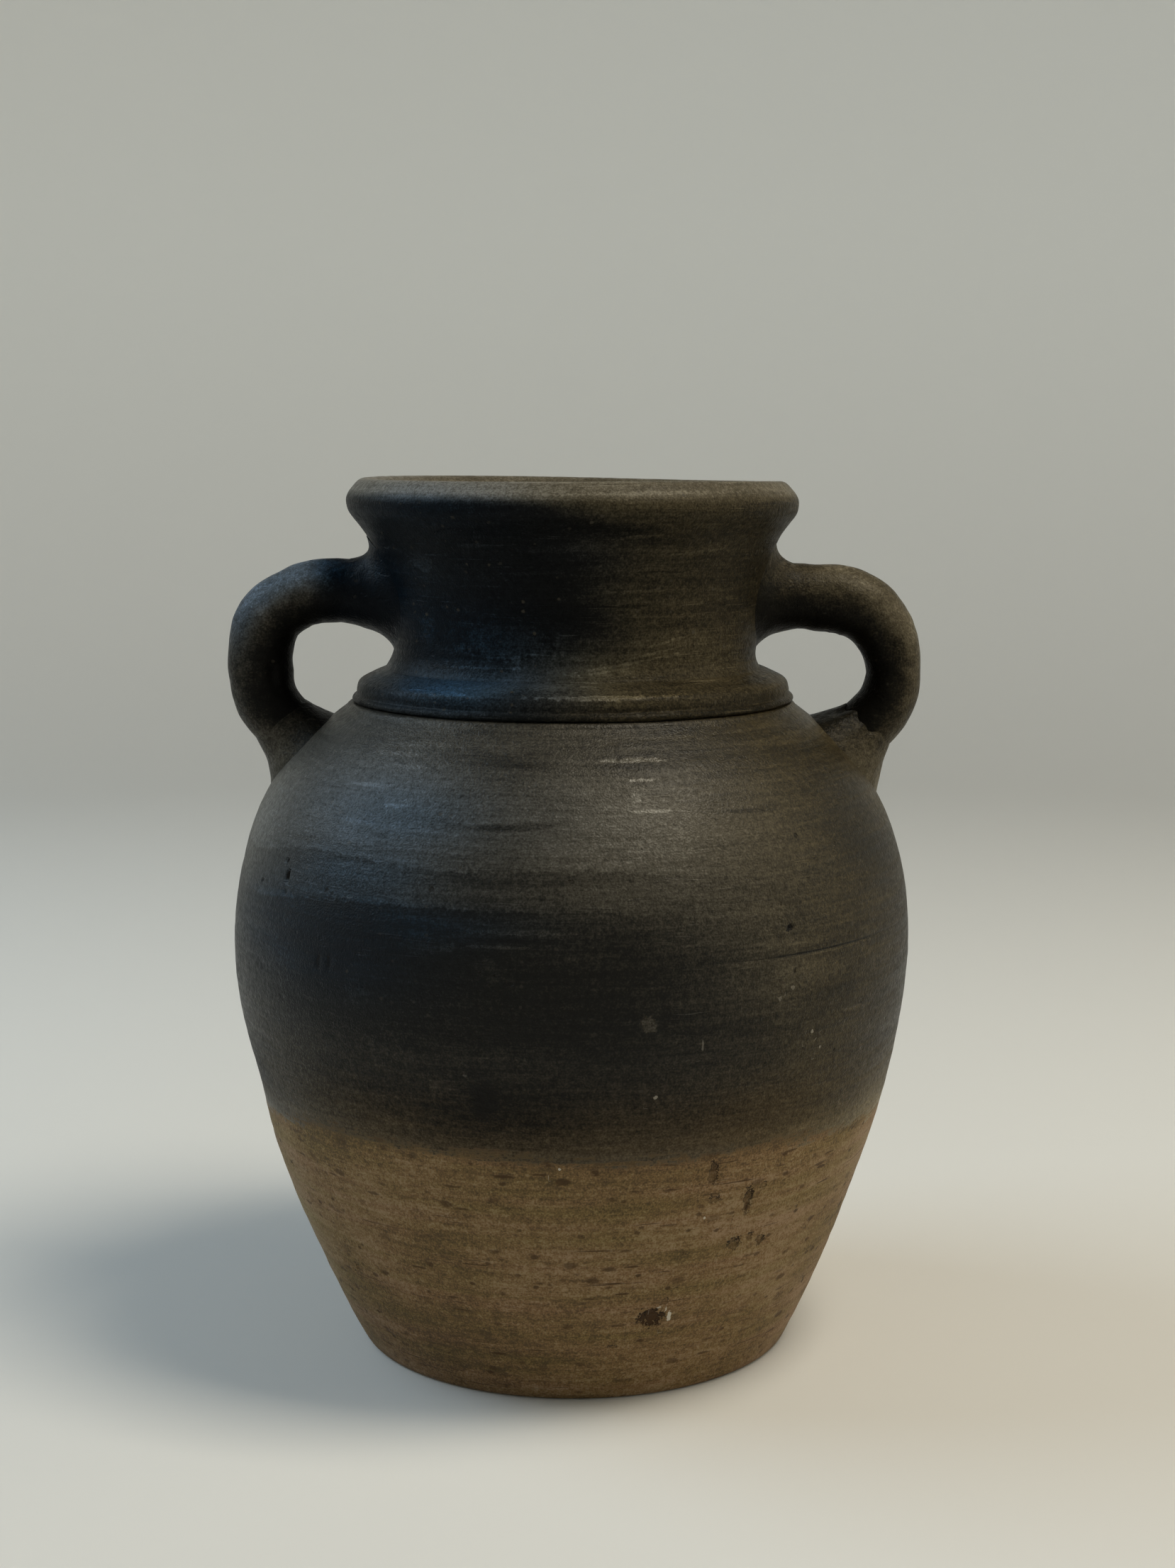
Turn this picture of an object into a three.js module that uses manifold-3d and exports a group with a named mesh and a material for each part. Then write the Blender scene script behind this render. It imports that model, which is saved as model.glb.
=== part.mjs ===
// Two-handled terracotta jar, smoke-blackened above a bare foot.
// Millimetres, +Z up, origin at the middle of the foot. The handles lie along X.
// The jar is modelled as the clay pieces that a potter throws, pulls and lutes together.
import * as THREE from 'three';
import { mergeVertices } from 'three/addons/utils/BufferGeometryUtils.js';
import Module from 'manifold-3d';

const wasm = await Module();
wasm.setup();

// Outside of the thrown body
const FOOT_RADIUS = 62.6; // where the wall's line meets the ground
const FOOT_FLARE = 27; // degrees that the wall leans out from upright at the foot
const FOOT_ROUNDING = 2.5; // worn edge between the wall and the flat underside
const BELLY_RADIUS = 97.9;
const BELLY_HEIGHT = 117.7;
const SEAT_HEIGHT = 187; // top of the shoulder, where the neck is set on
const SEAT_MARGIN = 0.2; // of the shoulder that shows round the cordon
const SEAT_RISE = 69; // degrees above level at which the shoulder comes up to the seat
const SEAT_PULL = 4.6; // how far it keeps that direction
const FOOT_FULLNESS = 0.501; // share of the rise that each end of a body curve keeps its direction
const LOWER_FULLNESS = 0.161;
const UPPER_FULLNESS = 0.758;

// Walls, and the keyed seam between the two thrown halves
const BODY_WALL = 7.5;
const FLOOR_THICKNESS = 9;
const FLOOR_COVE = 10; // how far up the inside wall the floor starts to round in
const SEAM_RISE = 10.3; // from the widest part of the belly up to the seam
const SEAM_KEY_DEPTH = 2.5; // V groove in the lower rim that takes the upper rim's ridge

// Neck with its rolled lip
const NECK_HEIGHT = 63; // from the seat to the top of the lip
const WAIST_RADIUS = 52.1;
const WAIST_RISE = 15; // from the seat
const NECK_WALL = 7.2;
const NECK_FOOT_FLARE = 1.9; // beyond the waist, at the straight collar that the cordon is wound on
const LIP_OVERHANG = 12.5; // beyond the waist
const LIP_HALF_THICKNESS = 5.2;
const LIP_HALF_HEIGHT = 6.3;
const LIP_FLARE = 34.5; // degrees that the neck leans out from upright under the lip
const WAIST_FULLNESS = 0.637; // shares of the rise from waist to lip
const LIP_FULLNESS = 0.265;

// Cordon, the clay ring over the joint of neck and shoulder
const CORDON_HEIGHT = 9.5;
const CORDON_WIDTH = 9.2; // from the neck's foot outwards
const CORDON_TOE = 0.6; // undercut where the cordon meets the shoulder
const CORDON_EDGE = 0.8; // height of its lower edge
const CORDON_WALL_SHARE = 0.46; // of the height, up to where it starts to round over
const CORDON_LEAN = 1.5; // how far it leans in by there
const CORDON_FULLNESS = 0.83; // how far it keeps that lean as it rounds over

// Handles, pulled straps of oval section
const HANDLE_THICKNESS = 18.3;
const HANDLE_WIDTH = 19.5;
const UPPER_BEND = 19; // width of the quarter turn at the top of the loop
const LOOP_FULLNESS = 0.58; // share of a quarter turn that it keeps its direction
const LANDING_ANGLE = 62; // degrees below level at which a handle comes down to the shoulder
const LANDING_PULL = 9;
// Below the lip's top; from the cordon to the inside of the loop; from the seat down the shoulder
const LEFT = { drop: 31.5, fingerGap: 17.8, landing: 20.5 };
const RIGHT = { drop: 33.7, fingerGap: 20.2, landing: 22.5 };

// Luting wads, the soft clay pressed round the handle ends
const WAD_REACH = 8; // along the handle
const WAD_RISE = 2.6; // along the wall inside the loop, beyond the handle
const WAD_SWELL = 6; // along the wall outside the loop, beyond the handle
const WAD_SPREAD = 5; // round the wall, beyond the handle
const WAD_EDGE = 1;
const LUTING_GAP = 0.3; // clearance between a cut piece and the pieces it is luted to
const BURIED = 5; // how far an uncut handle runs into the wall before it is trimmed

// Places that follow from them
const rimHeight = SEAT_HEIGHT + NECK_HEIGHT;
const rimRadius = WAIST_RADIUS + LIP_OVERHANG;
const waistHeight = SEAT_HEIGHT + WAIST_RISE;
const bore = WAIST_RADIUS - NECK_WALL;
const neckFootRadius = WAIST_RADIUS + NECK_FOOT_FLARE;
const cordonRadius = neckFootRadius + CORDON_WIDTH;
const cordonTop = SEAT_HEIGHT + CORDON_HEIGHT;
const seatRadius = cordonRadius + SEAT_MARGIN;

// Facets
const ROUND_SEGMENTS = 56;
const LOWER_STEPS = 10;
const SHOULDER_STEPS = 10;
const CORDON_STEPS = 8;
const NECK_STEPS = 10;
const MOUTH_STEPS = 7;
const EDGE_STEPS = 3;
const HANDLE_SIDES = 16;
const HANDLE_STEPS = 22;
const WAD_STEPS = 4;

const UP = new THREE.Vector3(0, 0, 1);
const ACROSS = new THREE.Vector3(0, 1, 0);
const radians = THREE.MathUtils.degToRad;
const at = (r, z) => new THREE.Vector2(r, z);

// Clay finishes, from the smoked surface and the bare foot
const smoked = () => new THREE.MeshStandardMaterial({ color: 0x35322c, roughness: 0.55, metalness: 0 });
const bare = () => new THREE.MeshStandardMaterial({ color: 0x6f5b40, roughness: 0.8, metalness: 0 });

// Closed solid from a geometry: vertices merged, slivers on the axis dropped
function solidOf(geometry) {
  const open = geometry.clone();
  open.deleteAttribute('normal');
  open.deleteAttribute('uv');
  const merged = mergeVertices(open, 1e-4);
  const corners = merged.index.array;
  const kept = [];
  for (let i = 0; i < corners.length; i += 3) {
    const [a, b, c] = [corners[i], corners[i + 1], corners[i + 2]];
    if (a !== b && b !== c && c !== a) kept.push(a, b, c);
  }
  return new wasm.Manifold(new wasm.Mesh({
    numProp: 3,
    vertProperties: new Float32Array(merged.attributes.position.array),
    triVerts: new Uint32Array(kept),
  }));
}

function meshOf(name, solid, material) {
  const { vertProperties, triVerts } = solid.getMesh();
  const geometry = new THREE.BufferGeometry();
  geometry.setAttribute('position', new THREE.BufferAttribute(vertProperties, 3));
  geometry.setIndex(new THREE.BufferAttribute(triVerts, 1));
  geometry.computeVertexNormals();
  const mesh = new THREE.Mesh(geometry, material);
  mesh.name = name;
  return mesh;
}

// Profile of (radius, height) points turned about Z: up the outside, down the inside
function turned(profile) {
  return solidOf(new THREE.LatheGeometry(profile, ROUND_SEGMENTS).rotateX(Math.PI / 2));
}

// Rings of points skinned into one closed body, each ring turning about the way it travels
function lofted(rings) {
  const sides = rings[0].length;
  const points = rings.flat();
  const faces = [];
  for (let i = 0; i + 1 < rings.length; i++) {
    for (let j = 0; j < sides; j++) {
      const a = i * sides + j;
      const b = i * sides + ((j + 1) % sides);
      faces.push(a, b, a + sides, b, b + sides, a + sides);
    }
  }
  const last = (rings.length - 1) * sides;
  for (let j = 1; j + 1 < sides; j++) {
    faces.push(0, j + 1, j, last, last + j, last + j + 1);
  }
  const geometry = new THREE.BufferGeometry().setFromPoints(points);
  geometry.setIndex(faces);
  return solidOf(geometry);
}

// Normal on the right of an outline that runs upwards, which points away from the clay
function outward(tangent) {
  return at(tangent.y, -tangent.x).normalize();
}

// Points of an open outline moved square to it, outwards when the distance is positive
function offset(points, distance) {
  return points.map((p, i) => {
    const before = points[Math.max(i - 1, 0)];
    const after = points[Math.min(i + 1, points.length - 1)];
    return outward(after.clone().sub(before)).multiplyScalar(distance).add(p);
  });
}

// Share of an outline's length at which it reaches a height
function shareAtHeight(outline, height) {
  let [low, high] = [0, 1];
  for (let i = 0; i < 40; i++) {
    const middle = (low + high) / 2;
    if (outline.getPoint(middle).y < height) low = middle;
    else high = middle;
  }
  return low;
}

function stretch(outline, from, to, steps) {
  return Array.from({ length: steps + 1 }, (_, i) => outline.getPoint(from + ((to - from) * i) / steps));
}

// Outer line of the body, from the ground to the seat
function bodyOutline() {
  const flare = at(Math.sin(radians(FOOT_FLARE)), Math.cos(radians(FOOT_FLARE)));
  const foot = at(FOOT_RADIUS, 0);
  const belly = at(BELLY_RADIUS, BELLY_HEIGHT);
  const seat = at(seatRadius, SEAT_HEIGHT);
  const rise = at(-Math.cos(radians(SEAT_RISE)), Math.sin(radians(SEAT_RISE)));
  const outline = new THREE.CurvePath();
  outline.add(new THREE.CubicBezierCurve(
    foot,
    foot.clone().addScaledVector(flare, FOOT_FULLNESS * BELLY_HEIGHT),
    at(BELLY_RADIUS, BELLY_HEIGHT * (1 - LOWER_FULLNESS)),
    belly,
  ));
  outline.add(new THREE.CubicBezierCurve(
    belly,
    at(BELLY_RADIUS, THREE.MathUtils.lerp(BELLY_HEIGHT, SEAT_HEIGHT, UPPER_FULLNESS)),
    seat.clone().addScaledVector(rise, -SEAT_PULL),
    seat,
  ));
  return outline;
}

const lip = at(rimRadius - LIP_HALF_THICKNESS, rimHeight - LIP_HALF_HEIGHT);
const lipStart = -Math.atan(Math.tan(radians(LIP_FLARE)) * (LIP_HALF_HEIGHT / LIP_HALF_THICKNESS));
const lipRoll = new THREE.EllipseCurve(
  lip.x, lip.y, LIP_HALF_THICKNESS, LIP_HALF_HEIGHT, lipStart, Math.PI);
const underLip = lipRoll.getPoint(0);
const neckRise = underLip.y - waistHeight;

// Outer line of the neck, from the top of the cordon to the underside of the lip
function neckOutline() {
  const lean = at(Math.sin(radians(LIP_FLARE)), Math.cos(radians(LIP_FLARE)));
  const waist = at(WAIST_RADIUS, waistHeight);
  const outline = new THREE.CurvePath();
  outline.add(new THREE.QuadraticBezierCurve(
    at(neckFootRadius, cordonTop),
    at(WAIST_RADIUS, (cordonTop + waistHeight) / 2),
    waist,
  ));
  outline.add(new THREE.CubicBezierCurve(
    waist,
    at(WAIST_RADIUS, waistHeight + WAIST_FULLNESS * neckRise),
    underLip.clone().addScaledVector(lean, -LIP_FULLNESS * neckRise),
    underLip,
  ));
  return outline;
}

// Outer line of the cordon: an undercut edge, a wall that leans in and a rounded top
function cordonOutline() {
  const toe = at(cordonRadius - CORDON_TOE, SEAT_HEIGHT);
  const edge = at(cordonRadius, SEAT_HEIGHT + CORDON_EDGE);
  const wall = at(cordonRadius - CORDON_LEAN, SEAT_HEIGHT + CORDON_WALL_SHARE * CORDON_HEIGHT);
  const crown = wall.clone().addScaledVector(wall.clone().sub(edge), CORDON_FULLNESS);
  const outline = new THREE.CurvePath();
  outline.add(new THREE.LineCurve(toe, edge));
  outline.add(new THREE.LineCurve(edge, wall));
  outline.add(new THREE.QuadraticBezierCurve(wall, crown, at(neckFootRadius, cordonTop)));
  return outline;
}

const bodyLine = bodyOutline();
const neckLine = neckOutline();
const cordonLine = cordonOutline();
const seamShare = shareAtHeight(bodyLine, BELLY_HEIGHT + SEAM_RISE);

// Outlines as facets, shared by each wall and by what is trimmed to it
const shoulderOuter = stretch(bodyLine, seamShare, 1, SHOULDER_STEPS);
const cordonOuter = cordonLine.getPoints(CORDON_STEPS);
const neckOuter = stretch(neckLine, 0, 1, NECK_STEPS);

// Shared seam face: outer edge, bottom of the V, inner edge
const seamPoints = (() => {
  const outer = bodyLine.getPoint(seamShare);
  const inner = outward(bodyLine.getTangent(seamShare)).multiplyScalar(-BODY_WALL).add(outer);
  const key = outer.clone().lerp(inner, 0.5);
  key.y -= SEAM_KEY_DEPTH;
  return { outer, key, inner };
})();

// Lower half: a thrown bowl with its floor
function lowerBody() {
  const worn = FOOT_ROUNDING * Math.tan(radians((90 - FOOT_FLARE) / 2));
  const wallStart = worn / bodyLine.getLength();
  const edge = new THREE.QuadraticBezierCurve(
    at(FOOT_RADIUS - worn, 0), at(FOOT_RADIUS, 0), bodyLine.getPoint(wallStart));
  const outer = stretch(bodyLine, wallStart, seamShare, LOWER_STEPS);
  const coveTop = shareAtHeight(bodyLine, FLOOR_THICKNESS + FLOOR_COVE);
  const inner = offset(stretch(bodyLine, coveTop, seamShare, LOWER_STEPS - 1), -BODY_WALL);
  inner.pop();
  const coveFoot = at(inner[0].x - FLOOR_COVE, FLOOR_THICKNESS);
  const corner = at(inner[0].x - FLOOR_COVE * Math.tan(radians(FOOT_FLARE)), FLOOR_THICKNESS);
  const cove = new THREE.QuadraticBezierCurve(inner[0], corner, coveFoot);
  return turned([
    at(0, 0),
    ...edge.getPoints(EDGE_STEPS),
    ...outer.slice(1, -1),
    seamPoints.outer,
    seamPoints.key,
    seamPoints.inner,
    ...inner.reverse(),
    ...cove.getPoints(EDGE_STEPS).slice(1),
    at(0, FLOOR_THICKNESS),
  ]);
}

// Upper half: a bottomless dome, drawn in to a flat seat round the opening
function shoulder() {
  const ledge = SEAT_HEIGHT - BODY_WALL;
  const inner = offset(shoulderOuter, -BODY_WALL).slice(1).filter((p) => p.y < ledge);
  return turned([
    seamPoints.outer,
    ...shoulderOuter.slice(1),
    at(bore, SEAT_HEIGHT),
    at(bore, ledge),
    ...inner.reverse(),
    seamPoints.inner,
    seamPoints.key,
    seamPoints.outer,
  ]);
}

// Neck: a flaring collar with a thick rolled lip, standing on the seat
function neck() {
  const mouth = new THREE.CubicBezierCurve(
    at(lip.x - LIP_HALF_THICKNESS, lip.y),
    at(lip.x - LIP_HALF_THICKNESS, lip.y - LIP_FULLNESS * neckRise),
    at(bore, waistHeight + WAIST_FULLNESS * neckRise),
    at(bore, waistHeight),
  );
  return turned([
    at(bore, SEAT_HEIGHT),
    at(neckFootRadius, SEAT_HEIGHT),
    ...neckOuter,
    ...lipRoll.getPoints(NECK_STEPS).slice(1),
    ...mouth.getPoints(MOUTH_STEPS).slice(1),
    at(bore, SEAT_HEIGHT),
  ]);
}

// Cordon: wound on the neck's foot and resting on the seat
function cordon() {
  const foot = at(neckFootRadius, SEAT_HEIGHT);
  return turned([foot, ...cordonOuter, foot]);
}

// The upper jar filled solid and grown by the luting gap, which trims handles and wads
const envelope = (() => {
  const grown = [shoulderOuter, cordonOuter, neckOuter].flatMap((line) => offset(line, LUTING_GAP));
  return turned([at(0, grown[0].y), ...grown, at(0, grown.at(-1).y)]);
})();

// Middle line of a handle: out of the neck, round the loop and down to the shoulder
function handlePath({ drop, fingerGap, landing }) {
  const top = rimHeight - drop;
  const neckShare = shareAtHeight(neckLine, top);
  const wall = neckLine.getPoint(neckShare).x;
  const landingShare = 1 - landing / bodyLine.getLength();
  const root = bodyLine.getPoint(landingShare);
  const way = at(-Math.cos(radians(LANDING_ANGLE)), -Math.sin(radians(LANDING_ANGLE)));
  const apex = at(cordonRadius + fingerGap + HANDLE_THICKNESS / 2, (top + root.y) / 2);
  const bend = at(apex.x - UPPER_BEND, top);
  const place = (p) => new THREE.Vector3(p.x, 0, p.y);
  const path = new THREE.CurvePath();
  path.add(new THREE.LineCurve3(place(at(wall - BURIED, top)), place(bend)));
  path.add(new THREE.CubicBezierCurve3(
    place(bend),
    place(at(bend.x + LOOP_FULLNESS * UPPER_BEND, top)),
    place(at(apex.x, apex.y + LOOP_FULLNESS * (top - apex.y))),
    place(apex),
  ));
  path.add(new THREE.CubicBezierCurve3(
    place(apex),
    place(at(apex.x, apex.y - LOOP_FULLNESS * (apex.y - root.y))),
    place(root.clone().addScaledVector(way, -LANDING_PULL)),
    place(root),
  ));
  path.add(new THREE.LineCurve3(place(root), place(root.clone().addScaledVector(way, BURIED))));
  return { path, neckShare, landingShare };
}

// Oval ring round a point, square to the way it travels
function ovalRing(middle, way, grow) {
  const normal = ACROSS.clone().cross(way).normalize();
  return Array.from({ length: HANDLE_SIDES }, (_, j) => {
    const turn = (2 * Math.PI * j) / HANDLE_SIDES;
    return middle.clone()
      .addScaledVector(normal, (HANDLE_THICKNESS / 2 + grow) * Math.cos(turn))
      .addScaledVector(ACROSS, (HANDLE_WIDTH / 2 + grow) * Math.sin(turn));
  });
}

function handleSweep(path, grow) {
  return lofted(Array.from({ length: HANDLE_STEPS + 1 }, (_, i) => {
    const share = i / HANDLE_STEPS;
    return ovalRing(path.getPoint(share), path.getTangent(share), grow);
  }));
}

// Point on a turned wall, lifted off it: along the outline by `along`, round the jar by `round`
function onWall(outline, share, along, round, lift) {
  const place = THREE.MathUtils.clamp(share + along / outline.getLength(), 0, 1);
  const line = outline.getPoint(place).addScaledVector(outward(outline.getTangent(place)), lift);
  return new THREE.Vector3(line.x, 0, line.y).applyAxisAngle(UP, round / line.x);
}

// Trumpet of clay from the handle to the wall; `end` is a point of the path near that wall,
// and `outside` is 1 where the loop's outside lies up the outline and -1 where it lies down
function wad(path, end, way, outline, share, outside) {
  const root = onWall(outline, share, 0, 0, 0);
  const slope = outline.getTangent(share);
  const along = new THREE.Vector3(slope.x, 0, slope.y);
  const normal = new THREE.Vector3(slope.y, 0, -slope.x);
  const taller = (down) => 1 + (down * outside > 0 ? WAD_SWELL : WAD_RISE) / (HANDLE_THICKNESS / 2);
  const wider = 1 + WAD_SPREAD / (HANDLE_WIDTH / 2);
  const meridians = ovalRing(end, way, WAD_EDGE + LUTING_GAP).map((start) => {
    const run = root.clone().sub(start).dot(normal) / way.dot(normal);
    const corner = start.clone().addScaledVector(way, run).sub(root);
    const [down, round] = [corner.dot(along), corner.dot(ACROSS)];
    const foot = [down * taller(down), round * wider];
    const flare = new THREE.QuadraticBezierCurve3(
      start,
      onWall(outline, share, down, round, WAD_EDGE),
      onWall(outline, share, ...foot, WAD_EDGE),
    );
    return [...flare.getPoints(WAD_STEPS), onWall(outline, share, ...foot, -BURIED)];
  });
  const rings = meridians[0].map((_, i) => meridians.map((line) => line[i]));
  return lofted(rings).subtract(handleSweep(path, LUTING_GAP)).subtract(envelope);
}

// One handle with its two wads, modelled on the +X side
function handleGroup(side, sizes) {
  const { path, neckShare, landingShare } = handlePath(sizes);
  const reach = (BURIED + WAD_REACH) / path.getLength();
  const neckWay = path.getTangent(reach).negate();
  const shoulderWay = path.getTangent(1 - reach);
  const neckWad = wad(path, path.getPoint(reach), neckWay, neckLine, neckShare, 1);
  const shoulderWad = wad(path, path.getPoint(1 - reach), shoulderWay, bodyLine, landingShare, -1);
  const group = new THREE.Group();
  group.add(
    meshOf(`${side}_handle`, handleSweep(path, 0).subtract(envelope), smoked()),
    meshOf(`${side}_neck_wad`, neckWad, smoked()),
    meshOf(`${side}_shoulder_wad`, shoulderWad, smoked()),
  );
  return group;
}

const jar = new THREE.Group();
jar.add(
  meshOf('lower_body', lowerBody(), bare()),
  meshOf('shoulder', shoulder(), smoked()),
  meshOf('neck', neck(), smoked()),
  meshOf('cordon', cordon(), smoked()),
);

const rightHandle = handleGroup('right', RIGHT);
const leftHandle = handleGroup('left', LEFT);
leftHandle.rotation.z = Math.PI;
jar.add(rightHandle, leftHandle);

export default jar;
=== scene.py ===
"""Two-handled terracotta jar, smoke-blackened above a bare foot.

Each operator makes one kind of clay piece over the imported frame, and the last one sets the stage.
Shapes are worked out in millimetres, with turns in degrees from the front, and built in metres.
"""

import itertools
import math

import bpy
import numpy as np
from bpy.props import FloatProperty, FloatVectorProperty, PointerProperty
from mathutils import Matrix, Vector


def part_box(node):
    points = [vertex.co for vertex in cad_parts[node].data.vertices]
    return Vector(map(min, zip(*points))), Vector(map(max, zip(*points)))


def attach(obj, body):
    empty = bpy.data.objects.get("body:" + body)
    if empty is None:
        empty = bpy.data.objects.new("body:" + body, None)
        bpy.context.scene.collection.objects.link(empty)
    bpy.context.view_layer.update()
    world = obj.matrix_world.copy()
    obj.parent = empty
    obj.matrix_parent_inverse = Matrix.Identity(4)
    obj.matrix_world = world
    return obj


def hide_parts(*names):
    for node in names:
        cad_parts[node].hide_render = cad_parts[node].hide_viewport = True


bl_info = {
    "name": "Smoke-fired jar",
    "version": (1, 0, 0),
    "blender": (4, 5, 0),
    "location": "3D View > Sidebar > Jar",
    "description": "Throws, pulls and lutes a two-handled terracotta jar and sets it on a plain stage",
    "category": "Add Mesh",
}

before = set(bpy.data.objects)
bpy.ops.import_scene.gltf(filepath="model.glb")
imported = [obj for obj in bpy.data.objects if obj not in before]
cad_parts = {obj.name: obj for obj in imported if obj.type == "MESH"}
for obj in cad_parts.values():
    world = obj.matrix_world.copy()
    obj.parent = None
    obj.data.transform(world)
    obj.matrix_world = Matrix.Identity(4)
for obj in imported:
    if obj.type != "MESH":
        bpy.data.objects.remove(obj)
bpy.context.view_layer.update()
MM = 0.001

# The two handles: side of the jar, drop below the lip, finger gap beyond the cordon, landing down
# the shoulder from the seat, and by share of the loop its girth and how far it strays outwards
HANDLES = {
    "left": {
        "side": -1, "drop": 31.5, "finger_gap": 17.8, "landing": 20.5,
        "girth": ((0, 0.35, 0.48, 0.63, 0.8, 1), (1, 1, 1.02, 1.02, 1, 1)),
        "shift": (
            (0, 0.2, 0.3, 0.37, 0.42, 0.47, 0.52, 0.6, 0.66, 0.8, 1),
            (0, 0, -0.45, -0.3, 0.2, 0.8, 0.7, 0.1, -0.5, -0.5, 0),
        ),
    },
    "right": {
        "side": 1, "drop": 33.7, "finger_gap": 20.2, "landing": 22.5,
        "girth": (
            (0, 0.12, 0.2, 0.3, 0.38, 0.46, 0.55, 0.65, 0.8, 1),
            (1, 1.02, 1.033, 1.08, 1.08, 1.02, 0.955, 0.87, 0.92, 1),
        ),
        "shift": (
            (0, 0.12, 0.2, 0.3, 0.38, 0.46, 0.55, 0.65, 0.8, 1),
            (0, 0.4, 0.3, -0.5, -0.5, 0.1, 0.65, 0.75, -0.1, 0),
        ),
    },
}

# Broad flats left by the potter's hands: turn, height, half width in degrees, half height, depth
FLATS = (
    (-86, 79, 34, 13, 0.9),
    (-84, 140, 30, 12, 0.35),
    (95, 66, 30, 14, -0.4),
    (150, 120, 40, 22, 0.5),
    (-150, 95, 36, 18, 0.4),
)

# Pits and flaked chips: turn, height, width, height, depth
PITS = (
    (-54, 145.2, 1.7, 3.4, 1.0),
    (-55, 148.6, 1.2, 1.5, 0.7),
    (-54, 140.6, 1.5, 1.3, 0.6),
    (-63, 141.6, 1.1, 1.1, 0.6),
    (-43, 143.5, 1.4, 1.2, 0.5),
    (36, 135.2, 2.6, 1.7, 0.9),
    (36.5, 124, 1.0, 1.4, 0.5),
    (-43.2, 124.8, 1.0, 3.0, 0.4),
    (-40.8, 125.2, 1.0, 3.4, 0.4),
    (-22.5, 147, 1.3, 1.6, 0.5),
    (0, 150, 1.2, 1.2, 0.45),
    (112, 140, 2.2, 1.4, 0.7),
    (-140, 122, 1.8, 2.4, 0.8),
    (171, 150, 1.5, 1.5, 0.6),
)
CHIPS = (
    (24.5, 70, 2.6, 6.4, 0.55),
    (25.6, 62.5, 3.2, 2.2, 0.4),
    (32.6, 60.5, 3.0, 7.0, 0.6),
    (35.5, 64, 2.0, 2.2, 0.35),
    (31.5, 47, 4.2, 3.6, 0.5),
    (35, 48.6, 2.0, 2.6, 0.5),
    (38, 46.4, 3.2, 2.8, 0.5),
    (16, 27, 8.0, 5.4, 0.8),
    (18.4, 32, 2.0, 2.4, 0.35),
    (8, 18.5, 3.4, 1.0, 0.35),
    (-50.5, 33.4, 1.8, 1.8, 0.4),
    (-52, 31.5, 1.2, 1.2, 0.3),
    (-65, 59, 2.2, 2.0, 0.3),
    (88, 52, 4.0, 4.4, 0.6),
    (126, 30, 5.0, 3.4, 0.6),
    (-118, 60, 3.0, 5.0, 0.5),
    (-160, 36, 6.0, 3.0, 0.6),
    (168, 64, 2.6, 3.6, 0.4),
)

# Fresh pale flakes: turn, height, width, height, strength
FLAKES = (
    (19.8, 27, 1.3, 3.2, 1.0),
    (17.4, 30, 2.0, 0.9, 0.7),
    (-2, 74.4, 1.0, 0.9, 0.9),
    (24, 57, 0.9, 0.9, 0.9),
    (42.8, 101.5, 0.9, 1.1, 0.45),
    (13, 93.8, 0.9, 0.9, 0.4),
    (40.5, 106.5, 0.9, 1.1, 0.35),
    (20.2, 106.8, 0.6, 2.4, 0.15),
    (-16.5, 99.5, 1.2, 0.6, 0.10),
    (36, 119.5, 1.6, 1.0, 0.16),
    (33.5, 117, 1.0, 1.2, 0.14),
    (140, 66, 1.4, 1.0, 0.9),
)

# Smoke on the body by height, from 0 on bare clay to 1 on the blackest
SMOKE_HEIGHTS = (58, 68, 75, 80, 86, 97, 112, 128, 136, 144, 151, 158, 170, 180, 187)
SMOKE_LEVELS = (
    0, 0.05, 0.36, 0.51, 0.68, 0.82, 0.92, 0.87, 0.77, 0.67, 0.59, 0.51, 0.48, 0.53, 0.60
)

# Where the smoke ends above the bare foot: turns and heights
BARE_EDGE = (
    (-180, -110, -75, -62, -48, -34, -12, -3, 10, 20, 28, 37, 49, 62, 75, 120, 180),
    (76, 77, 73, 75, 78, 78.3, 77.2, 77, 75.8, 75.6, 76.5, 76.5, 75, 74, 73, 77, 76),
)

# Edges of two smoke layers round the body: turns, heights and how plainly each edge shows
UPPER_EDGE = (
    (-180, -120, -72, -58, -48, -38, -29, -22, -12, -5, 6, 20, 30, 60, 120, 180),
    (150, 152, 149, 151.5, 153.8, 153, 152, 151, 151.8, 152.5, 152, 151, 148.8, 150, 152, 150),
    (0.5, 0.7, 0.5, 0.9, 1, 1, 1, 1, 1, 1, 0.8, 0.6, 0.3, 0.1, 0.5, 0.5),
)
LOWER_EDGE = (
    (-180, -110, -75, -59, -44, -28, -12, 2, 12, 22, 90, 140, 180),
    (140, 143, 137.5, 138.5, 141.5, 142.2, 142.5, 142.8, 141.5, 141, 140, 141, 140),
    (0.4, 0.8, 0.5, 1, 1, 1, 0.9, 0.6, 0.3, 0, 0, 0.5, 0.4),
)

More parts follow.
